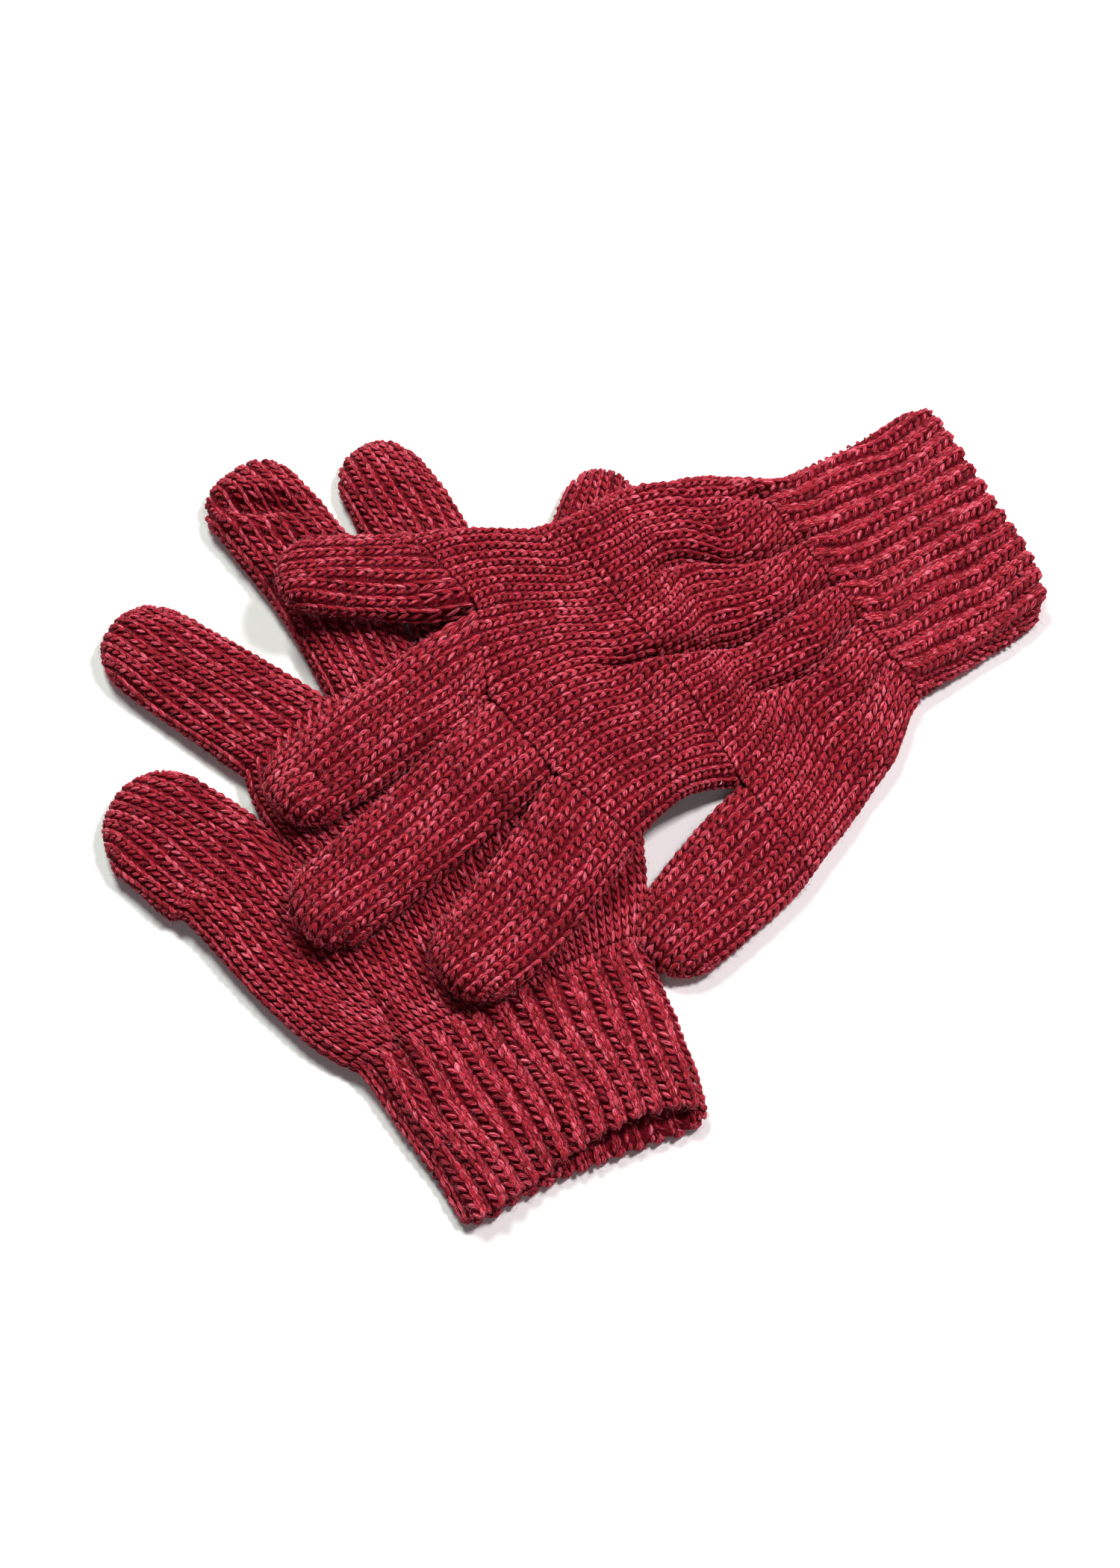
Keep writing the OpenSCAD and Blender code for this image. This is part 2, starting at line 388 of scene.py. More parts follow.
@dataclass
class StrandForm:
    """A short spindle of yarn, modelled once and laid along any line.

    The form is a low round body: its levels run along the strand, and each of its points
    keeps a level, a direction round the strand and a share of the strand's radius.
    """

    sides: int
    levels: int
    level_of: np.ndarray = field(init=False)
    turn_of: np.ndarray = field(init=False)
    share_of: np.ndarray = field(init=False)
    places: np.ndarray = field(init=False)
    quads: np.ndarray = field(init=False)
    triangles: np.ndarray = field(init=False)

    def __post_init__(self) -> None:
        """Models the form and reads its points."""
        bpy.ops.object.select_all(action="DESELECT")
        bpy.ops.mesh.primitive_uv_sphere_add(segments=self.sides, ring_count=self.levels - 1)
        form = bpy.context.object
        mesh = form.data
        points = np.array([v.co for v in mesh.vertices])
        heights = np.unique(np.round(points[:, 2], 4))
        self.level_of = np.searchsorted(heights, points[:, 2] - 1e-3)
        self.turn_of = np.arctan2(points[:, 1], points[:, 0])
        self.share_of = np.hypot(points[:, 0], points[:, 1])
        self.places = (np.arcsin(np.clip(heights, -1, 1)) / math.pi) + 0.5
        faces = [list(p.vertices) for p in mesh.polygons]
        self.quads = np.array([f for f in faces if len(f) == 4], int).reshape(-1, 4)
        self.triangles = np.array([f for f in faces if len(f) == 3], int).reshape(-1, 3)
        bpy.data.objects.remove(form)
        bpy.data.meshes.remove(mesh)

    def lay(
        self, centres: np.ndarray, outward: np.ndarray, radius: np.ndarray, flat: float
    ) -> np.ndarray:
        """Lays one strand along each line of centres.

        Args:
            centres: strands x levels x 3.
            outward: the fabric's outward direction, strands x levels x 3.
            radius: each strand's radius.
            flat: height of a strand as a share of its width.

        Returns:
            Strands x points x 3.
        """
        run = np.gradient(centres, axis=1)
        run /= np.linalg.norm(run, axis=2, keepdims=True) + 1e-9
        side = np.cross(outward, run)
        side /= np.linalg.norm(side, axis=2, keepdims=True) + 1e-9
        rise = np.cross(run, side)
        level = self.level_of
        reach = radius[:, None] * self.share_of[None, :]
        return (
            centres[:, level]
            + side[:, level] * (reach * np.cos(self.turn_of))[..., None]
            + rise[:, level] * (reach * np.sin(self.turn_of) * flat)[..., None]
        )


@dataclass
class Parts:
    """The points and faces of one piece while it is put together."""

    points: list[np.ndarray] = field(default_factory=list)
    strand: list[np.ndarray] = field(default_factory=list)
    heather: list[np.ndarray] = field(default_factory=list)
    faces: list[tuple[np.ndarray, int]] = field(default_factory=list)
    count: int = 0

    def add(
        self,
        points: np.ndarray,
        faces: list[np.ndarray],
        finish: int,
        strand: Optional[np.ndarray] = None,
        heather: Optional[np.ndarray] = None,
    ) -> None:
        """Adds points with their faces.

        Args:
            points: n x 3.
            faces: arrays of point indices, one array for each number of corners.
            finish: index of the material slot.
            strand: the strand attribute, n x 3.
            heather: the heather attribute, n.
        """
        n = len(points)
        self.points.append(points)
        self.strand.append(np.zeros((n, 3)) if strand is None else strand)
        self.heather.append(np.zeros(n) if heather is None else heather)
        for block in faces:
            self.faces.append((block + self.count, finish))
        self.count += n

    def add_strands(
        self, form: StrandForm, laid: np.ndarray, finish: int, heather: np.ndarray, twist: float,
        draw: np.random.Generator,
    ) -> None:
        """Adds strands laid from a form.

        Args:
            form: the form they were laid from.
            laid: strands x points x 3.
            finish: index of the material slot.
            heather: one value for each strand.
            twist: turns of the ply over the strand, in radians.
            draw: the random numbers.
        """
        n, k = laid.shape[:2]
        if n == 0:
            return
        start = (np.arange(n) * k)[:, None, None]
        faces = [(block[None] + start).reshape(-1, block.shape[1]) for block in (form.quads, form.triangles)]
        place = form.places[form.level_of]
        turn = form.turn_of + twist * place
        wound = np.stack([np.cos(turn) * 0.75, np.sin(turn) * 0.75, place * STREAK_RUN], axis=1)
        offset = draw.uniform(-40, 40, (n, 1, 3))
        self.add(
            laid.reshape(-1, 3), faces, finish,
            (wound[None] + offset).reshape(-1, 3), np.repeat(heather, k),
        )

    def build(self, name: str, finishes: list[bpy.types.Material]) -> bpy.types.Object:
        """Makes the piece's object.

        Args:
            name: its name.
            finishes: its materials, in slot order.

        Returns:
            The object, with its place in its mesh.
        """
        mesh = bpy.data.meshes.new(name)
        points = np.concatenate(self.points).astype(np.float32)
        mesh.vertices.add(len(points))
        mesh.vertices.foreach_set("co", points.ravel())
        corners = np.concatenate([block.ravel() for block, _ in self.faces]).astype(np.int32)
        sizes = np.concatenate([np.full(len(block), block.shape[1]) for block, _ in self.faces])
        slots = np.concatenate([np.full(len(block), finish) for block, finish in self.faces])
        mesh.loops.add(len(corners))
        mesh.loops.foreach_set("vertex_index", corners)
        mesh.polygons.add(len(sizes))
        starts = np.concatenate([[0], np.cumsum(sizes)[:-1]]).astype(np.int32)
        mesh.polygons.foreach_set("loop_start", starts)
        mesh.polygons.foreach_set("loop_total", sizes.astype(np.int32))
        mesh.polygons.foreach_set("material_index", slots.astype(np.int32))
        mesh.polygons.foreach_set("use_smooth", np.ones(len(sizes), bool))
        strand = mesh.attributes.new("strand", "FLOAT_VECTOR", "POINT")
        strand.data.foreach_set("vector", np.concatenate(self.strand).astype(np.float32).ravel())
        heather = mesh.attributes.new("heather", "FLOAT", "POINT")
        heather.data.foreach_set("value", np.concatenate(self.heather).astype(np.float32))
        for finish in finishes:
            mesh.materials.append(finish)
        mesh.update(calc_edges=True)
        mesh.validate()
        piece = bpy.data.objects.new(name, mesh)
        bpy.context.scene.collection.objects.link(piece)
        return piece


# ---- Sheets ----


@dataclass
class Sheet:
    """A knitted tube as a grid of points, with a closed loop of points in each row.

    The loop starts at the thumb-side edge, crosses the upper face, turns at the other edge
    and comes back across the lower face.
    """

    rows: np.ndarray
    points: np.ndarray

    def __post_init__(self) -> None:
        """Works out the outward directions and the level between the two faces."""
        self.outward = self._outward()
        facing = np.roll(self.points[:, ::-1, 2], 1, axis=1)
        self.middle = (self.points[..., 2] + facing) / 2

    def _outward(self) -> np.ndarray:
        """Outward directions, rows x around x 3."""
        around = np.roll(self.points, -1, axis=1) - np.roll(self.points, 1, axis=1)
        along = np.gradient(self.points, axis=0)
        out = np.cross(around, along)
        return out / (np.linalg.norm(out, axis=2, keepdims=True) + 1e-9)

    def pushed(self, amount: np.ndarray) -> "Sheet":
        """Moves every point outwards.

        Args:
            amount: how far, rows x around.

        Returns:
            The new sheet.
        """
        return Sheet(self.rows, self.points + self.outward * amount[..., None])

    def read(self, row: np.ndarray, around: np.ndarray) -> tuple[np.ndarray, np.ndarray]:
        """Reads the sheet between its points.

        Args:
            row: distance along the tube.
            around: share of the way round the loop.

        Returns:
            The points and the outward directions there.
        """
        n = self.points.shape[1]
        at = np.interp(row, self.rows, np.arange(len(self.rows)))
        i = np.clip(at.astype(int), 0, len(self.rows) - 2)
        ti = (at - i)[..., None]
        turn = (around % 1.0) * n
        j = turn.astype(int) % n
        tj = (turn - np.floor(turn))[..., None]
        k = (j + 1) % n

        def blend(grid: np.ndarray) -> np.ndarray:
            """Blends the four nearest grid values."""
            low = grid[i, j] * (1 - tj) + grid[i, k] * tj
            high = grid[i + 1, j] * (1 - tj) + grid[i + 1, k] * tj
            return low * (1 - ti) + high * ti

        out = blend(self.outward)
        return blend(self.points), out / (np.linalg.norm(out, axis=-1, keepdims=True) + 1e-9)

    def shell(
        self, outer: float, inner: float, first: float, last: float, closed_tip: bool
    ) -> tuple[np.ndarray, list[np.ndarray]]:
        """The fabric's back between two rows, as a closed shell.

        Args:
            outer: how far inside the sheet its outer face lies.
            inner: how far inside the sheet its inner face lies.
            first: the row it starts at.
            last: the row it ends at.
            closed_tip: whether the last row is closed across.

        Returns:
            The points and the faces.
        """
        picked = np.where((self.rows >= first - 1e-6) & (self.rows <= last + 1e-6))[0]
        # Every third row is fine enough for a surface behind the stitches.
        picked = picked[::3] if (len(picked) - 1) % 3 == 0 else np.append(picked[:-1:3], picked[-1])
        n = self.points.shape[1]
        skins = []
        for depth in (outer, inner):
            skin = self.points[picked] - self.outward[picked] * depth
            keep = self.middle[picked]
            upper = np.arange(n)[None, :] <= n // 2
            # Where the faces meet at an edge, the outer skin still stays outside the inner one.
            least = 0.35 if depth == outer else 0.12
            skin[..., 2] = np.where(
                upper, np.maximum(skin[..., 2], keep + least), np.minimum(skin[..., 2], keep - least)
            )
            skins.append(skin)
        points = np.concatenate([skin.reshape(-1, 3) for skin in skins])
        rows = len(picked)
        index = np.arange(rows * n).reshape(rows, n)
        after = np.roll(index, -1, axis=1)
        quads = [
            np.stack([index[:-1], after[:-1], after[1:], index[1:]], axis=-1).reshape(-1, 4),
            np.stack([index[:-1], index[1:], after[1:], after[:-1]], axis=-1).reshape(-1, 4) + rows * n,
            np.stack([index[0], index[0] + rows * n, after[0] + rows * n, after[0]], axis=-1),
        ]
        triangles = []
        if closed_tip:
            half = n // 2
            for base, flip in ((index[-1], False), (index[-1] + rows * n, True)):
                top = base[:half + 1]
                low = base[(n - np.arange(half + 1)) % n]
                block = np.stack([top[1:-2], top[2:-1], low[2:-1], low[1:-2]], axis=-1)
                ends = np.array([[top[0], top[1], low[1]], [top[half - 1], top[half], low[half - 1]]])
                quads.append(block[:, ::-1] if flip else block)
                triangles.append(ends[:, ::-1] if flip else ends)
        else:
            quads.append(np.stack(
                [index[-1], after[-1], after[-1] + rows * n, index[-1] + rows * n], axis=-1))
        return points, [np.concatenate(quads)] + ([np.concatenate(triangles)] if triangles else [])


def loop_shares(width: float, height: float, rounding: float, count: int) -> np.ndarray:
    """Even steps over one face of a section, measured along the fabric.

    Args:
        width: width of the section.
        height: height of the section.
        rounding: distance over which its edges round.
        count: number of steps.

    Returns:
        count + 1 shares of the width, from one edge to the other.
    """
    fine = (1 - np.cos(np.linspace(0, math.pi, 241))) / 2
    rise = height / 2 * puff(np.minimum(fine, 1 - fine) * width, rounding)
    return even_steps(fine, width, rise, count)


def even_steps(fine: np.ndarray, width: float, rise: np.ndarray, count: int) -> np.ndarray:
    """Even steps along a face whose height is known.

    Args:
        fine: shares of the width where the height is known.
        width: width of the section.
        rise: the height there.
        count: number of steps.

    Returns:
        count + 1 shares of the width, from one edge to the other.
    """
    steps = np.hypot(np.diff(fine) * width, np.diff(rise))
    length = np.concatenate([[0], np.cumsum(steps)])
    return np.interp(np.linspace(0, 1, count + 1), length / length[-1], fine)


@dataclass(frozen=True)
class Fold:
    """A valley pressed into the upper face, with a soft ridge on both sides.

    Its path is given as (across, along) points.
    """

    path: Points
    depth: float
    spread: float
    ridge: float = 0.4

    def relief(self, across: np.ndarray, along: np.ndarray) -> np.ndarray:
        """How far the fold moves the fabric up.

        Args:
            across: where, towards the thumb.
            along: where, towards the fingertips.

        Returns:
            The height to add.
        """
        place = np.stack([across, along], axis=-1)
        path = np.array(self.path, float)
        lengths = np.linalg.norm(np.diff(path, axis=0), axis=1)
        nearest = np.full(across.shape, 1e6)
        share = np.zeros(across.shape)
        run = 0.0
        for start, end, length in zip(path[:-1], path[1:], lengths):
            t = np.clip(((place - start) @ (end - start)) / length ** 2, 0, 1)
            gap = np.linalg.norm(place - start - t[..., None] * (end - start), axis=-1)
            closer = gap < nearest
            nearest = np.where(closer, gap, nearest)
            share = np.where(closer, (run + t * length) / lengths.sum(), share)
            run += length
        fade = 1 - 0.85 * np.abs(2 * share - 1) ** 2.5
        valley = np.exp(-(nearest / self.spread) ** 2)
        ridge = np.exp(-((nearest - 2.1 * self.spread) / (1.1 * self.spread)) ** 2)
        return self.depth * fade * (self.ridge * ridge - valley)


# ---- Shapes ----

# Sheets lie at the middle of the yarn, which stands this far above and below them.
YARN_STAND = 0.95
# The edges of a glove sink towards what it lies on.
EDGE_DROP = 1.7
HAND_HEIGHT = 9.5
CUFF_LENGTH = 48.0
# The fabric rounds over at its edges and fingertips across these widths.
EDGE_ROUNDING = 7.0
TIP_ROUNDING = 6.5
# Rows of a sheet stand this far apart along a finger, and its stretches of fabric back lie
# between these depths behind the sheet.
ROW_STEP = 0.8
BACK = (0.42, 1.1)
RIB_BACK = (0.38, 0.85)


@dataclass(frozen=True)
class FingerShape:
    """One finger of one glove, in plan.

    Args given as points are (across, along): the two ends of its mouth and its middle line.
    """

    finger: Finger
    thumb_end: tuple[float, float]
    little_end: tuple[float, float]
    line: Points
    width: tuple[float, float, float]
    wales: int
    tip_reach: float = 13.0
    tip_power: float = 2.3
    rise: float = 0.0
    folds: tuple[Fold, ...] = ()
    knuckle: float = 0.0

    def middle_line(self) -> tuple[np.ndarray, np.ndarray]:
        """Rounds the middle line.

        Returns:
            Distances from the mouth, and points.
        """
        path = np.array(self.line, float)
        run = run_of(path)
        points = on_path(np.linspace(0, run[-1], 121), run, path)
        for _ in range(140):
            points[1:-1] = (points[:-2] + 2 * points[1:-1] + points[2:]) / 4
        return run_of(points), points

    def rows(self, start: float, reach: np.ndarray, half: float) -> tuple[np.ndarray, np.ndarray]:
        """Spaces the rows evenly along the fabric, also over the rounded tip.

        Args:
            start: distance from the mouth at which the tip starts to round.
            reach: how far past that each column of the loop goes.
            half: half the finger's height.

        Returns:
            The rows, and each row's distance from the mouth in each column.
        """
        fine = np.linspace(0, 1, 61)
        falls = half * puff((1 - fine)[:, None] * reach[None, :], TIP_ROUNDING)
        paths = np.hypot(np.diff(fine)[:, None] * reach, np.diff(falls, axis=0))
        paths = np.concatenate([np.zeros((1, len(reach))), np.cumsum(paths, axis=0)])
        tip_length = float(paths[-1].max())
        tip_rows = np.linspace(0, 1, int(tip_length / ROW_STEP) + 2)[1:]
        tip = np.stack(
            [np.interp(tip_rows, paths[:, c] / paths[-1, c], fine) for c in range(len(reach))], axis=1)
        shaft_rows = np.linspace(0, start, int(start / ROW_STEP) + 1)
        distance = np.concatenate([np.repeat(shaft_rows[:, None], len(reach), 1), start + tip * reach])
        return np.concatenate([shaft_rows, start + tip_rows * tip_length]), distance

    def sheet(self, lie: float, relief: Callable[[np.ndarray, np.ndarray], np.ndarray]) -> Sheet:
        """Builds the finger's sheet.

        Args:
            lie: height the finger lies at.
            relief: unevenness of the upper face at (across, along).

        Returns:
            The sheet.
        """
        run, points = self.middle_line()
        length = run[-1]
        start = length - self.tip_reach
        half = HAND_HEIGHT / 2 - YARN_STAND
        steps = self.wales * 4
        shares = loop_shares(self.width[1], 2 * half, EDGE_ROUNDING, steps)
        shares = np.concatenate([shares, shares[-2:0:-1]])
        upper = np.arange(2 * steps) <= steps
        side = 1 - 2 * shares
        reach = self.tip_reach * np.clip(1 - np.abs(side) ** self.tip_power, 0, 1) ** (1 / self.tip_power)
        reach = np.maximum(reach, 0.35)
        rows, distance = self.rows(start, reach, half)

        at = on_path(distance, run, points)
        slope = np.gradient(points, axis=0)
        slope /= np.linalg.norm(slope, axis=1, keepdims=True)
        ahead = on_path(distance, run, slope)
        square = np.stack([ahead[..., 1], -ahead[..., 0]], axis=-1)
        mouth = np.array(self.thumb_end) - np.array(self.little_end)
        mouth_width = float(np.linalg.norm(mouth))
        turned = smooth(distance, 0.0, 0.25 * length)[..., None]
        square = square * turned + (mouth / mouth_width) * (1 - turned)
        square /= np.linalg.norm(square, axis=-1, keepdims=True)
        width = np.interp(
            distance, [0, 0.3 * length, 0.7 * length, length],
            [mouth_width, self.width[0], self.width[1], self.width[2]])
        plan = at + square * (side * width / 2)[..., None]
        edge = (start + reach) - distance
        stand = half * puff((1 - np.abs(side)) * width / 2, EDGE_ROUNDING) * puff(edge, TIP_ROUNDING)
        middle = lie + HAND_HEIGHT / 2 + self.rise * smooth(distance, 0.1 * length, length)
        middle = middle - EDGE_DROP * (1 - stand / half)
        across, along = plan[..., 0], plan[..., 1]
        shape = relief(across, along) + sum(f.relief(across, along) for f in self.folds)
        upper_height = np.maximum(stand + shape * np.clip(stand / half, 0, 1), 0.1 * stand)
        height = np.where(upper, upper_height, -stand)
        grid = np.stack([along, across, middle + height], axis=-1)
        return Sheet(rows, grid)


@dataclass(frozen=True)
class GloveShape:
    """The plan of one glove's cuff and hand, as (along, across) edges and (across, along) points."""

    side: Side
    thumb_edge: Points
    little_edge: Points
    mouth: Points
    mouth_under: Points
    thumb_fork: tuple[float, float]
    forks: Points
    fingers: tuple[FingerShape, ...]
    folds: tuple[Fold, ...]
    open_across: tuple[float, float]
    open_height: tuple[float, float]
    climb: float
    waist: float
    seed: int

    def edges(self, along: float) -> tuple[float, float]:
        """The thumb-side and little-finger-side edges at a place along."""
        return float(along_line(self.thumb_edge, along)), float(along_line(self.little_edge, along))

    def lie(self, across: np.ndarray, along: np.ndarray) -> np.ndarray:
        """Height that the hand lies at, as the upper glove climbs onto the lower one."""
        return self.climb * smooth(along - 0.67 * across, 30.0, 55.0)

    def relief(self, across: np.ndarray, along: np.ndarray) -> np.ndarray:
        """Small unevenness of a worn glove that nobody has pressed flat.

        Args:
            across: where, towards the thumb.
            along: where, towards the fingertips.

        Returns:
            The height to add.
        """
        draw = np.random.default_rng(self.seed)
        total = np.zeros(np.shape(across))
        for wave in (46.0, 33.0, 24.0, 17.0, 12.5, 9.0):
            heading, phase = draw.uniform(0, math.tau, 2)
            turn = (across * math.cos(heading) + along * math.sin(heading)) * math.tau / wave
            total = total + 0.011 * wave * np.sin(turn + phase + 0.8 * np.sin(turn * 0.37 + phase))
        return total

    def hand_grid(
        self, rows: np.ndarray, along_of: Callable[[np.ndarray, float], np.ndarray],
        edges: Callable[[float], tuple[float, float]], steps: int, pinches: Points,
        height_of: Callable[[np.ndarray, np.ndarray], np.ndarray],
    ) -> Sheet:
        """Builds a sheet of the hand from its rows.

        Args:
            rows: the row values, from 0 to 1.
            along_of: the place along for (across, row).
            edges: the thumb-side and little-finger-side edges for a row.
            steps: points over one face.
            pinches: fork points where the two faces meet.
            height_of: full height of the fabric at (across, along).

        Returns:
            The sheet, with rows measured along its middle.
        """
        upper = np.arange(2 * steps) <= steps
        fine = (1 - np.cos(np.linspace(0, math.pi, 321))) / 2

        def heights(
            thumb: float, width: float, row: float, shares: np.ndarray
        ) -> tuple[np.ndarray, np.ndarray, np.ndarray, np.ndarray, np.ndarray]:
            """Plan place, middle level and the two faces' heights at some shares of the width."""
            across = thumb - width * shares
            along = along_of(across, row)
            full = height_of(across, along) / 2
            edge = puff(np.minimum(shares, 1 - shares) * width, EDGE_ROUNDING)
            stand = full * edge
            for fork_across, fork_along in pinches:
                gap = np.hypot(across - fork_across, np.minimum(along - fork_along, 0))
                stand = stand * puff(gap + 0.25, EDGE_ROUNDING)
            shape = self.relief(across, along) + sum(f.relief(across, along) for f in self.folds)
            shape = shape * np.clip(stand / full, 0, 1)
            middle = self.lie(across, along) + YARN_STAND + full - EDGE_DROP * (1 - edge)
            return across, along, middle, np.maximum(stand + shape, -0.45 * stand), -stand

        grid = []
        for row in rows:
            thumb, little = edges(row)
            width = thumb - little
            over = even_steps(fine, width, heights(thumb, width, row, fine)[3], steps)
            under = loop_shares(width, HAND_HEIGHT - 2 * YARN_STAND, EDGE_ROUNDING, steps)
            shares = np.concatenate([over, under[-2:0:-1]])
            across, along, middle, top, low = heights(thumb, width, row, shares)
            grid.append(np.stack([along, across, middle + np.where(upper, top, low)], axis=-1))
        points = np.array(grid)
        return Sheet(run_of(points[:, steps // 2]), points)

    def height(self, across: np.ndarray, along: np.ndarray) -> np.ndarray:
        """Full height between the two faces, with the cuff's mouth part open."""
        closed, opened = self.open_height
        openness = smooth(across, *self.open_across)
        at_mouth = closed + (opened - closed) * openness
        inner = HAND_HEIGHT - 2 * YARN_STAND
        return inner + (at_mouth - inner) * smooth(-along, 6.0, 44.0)


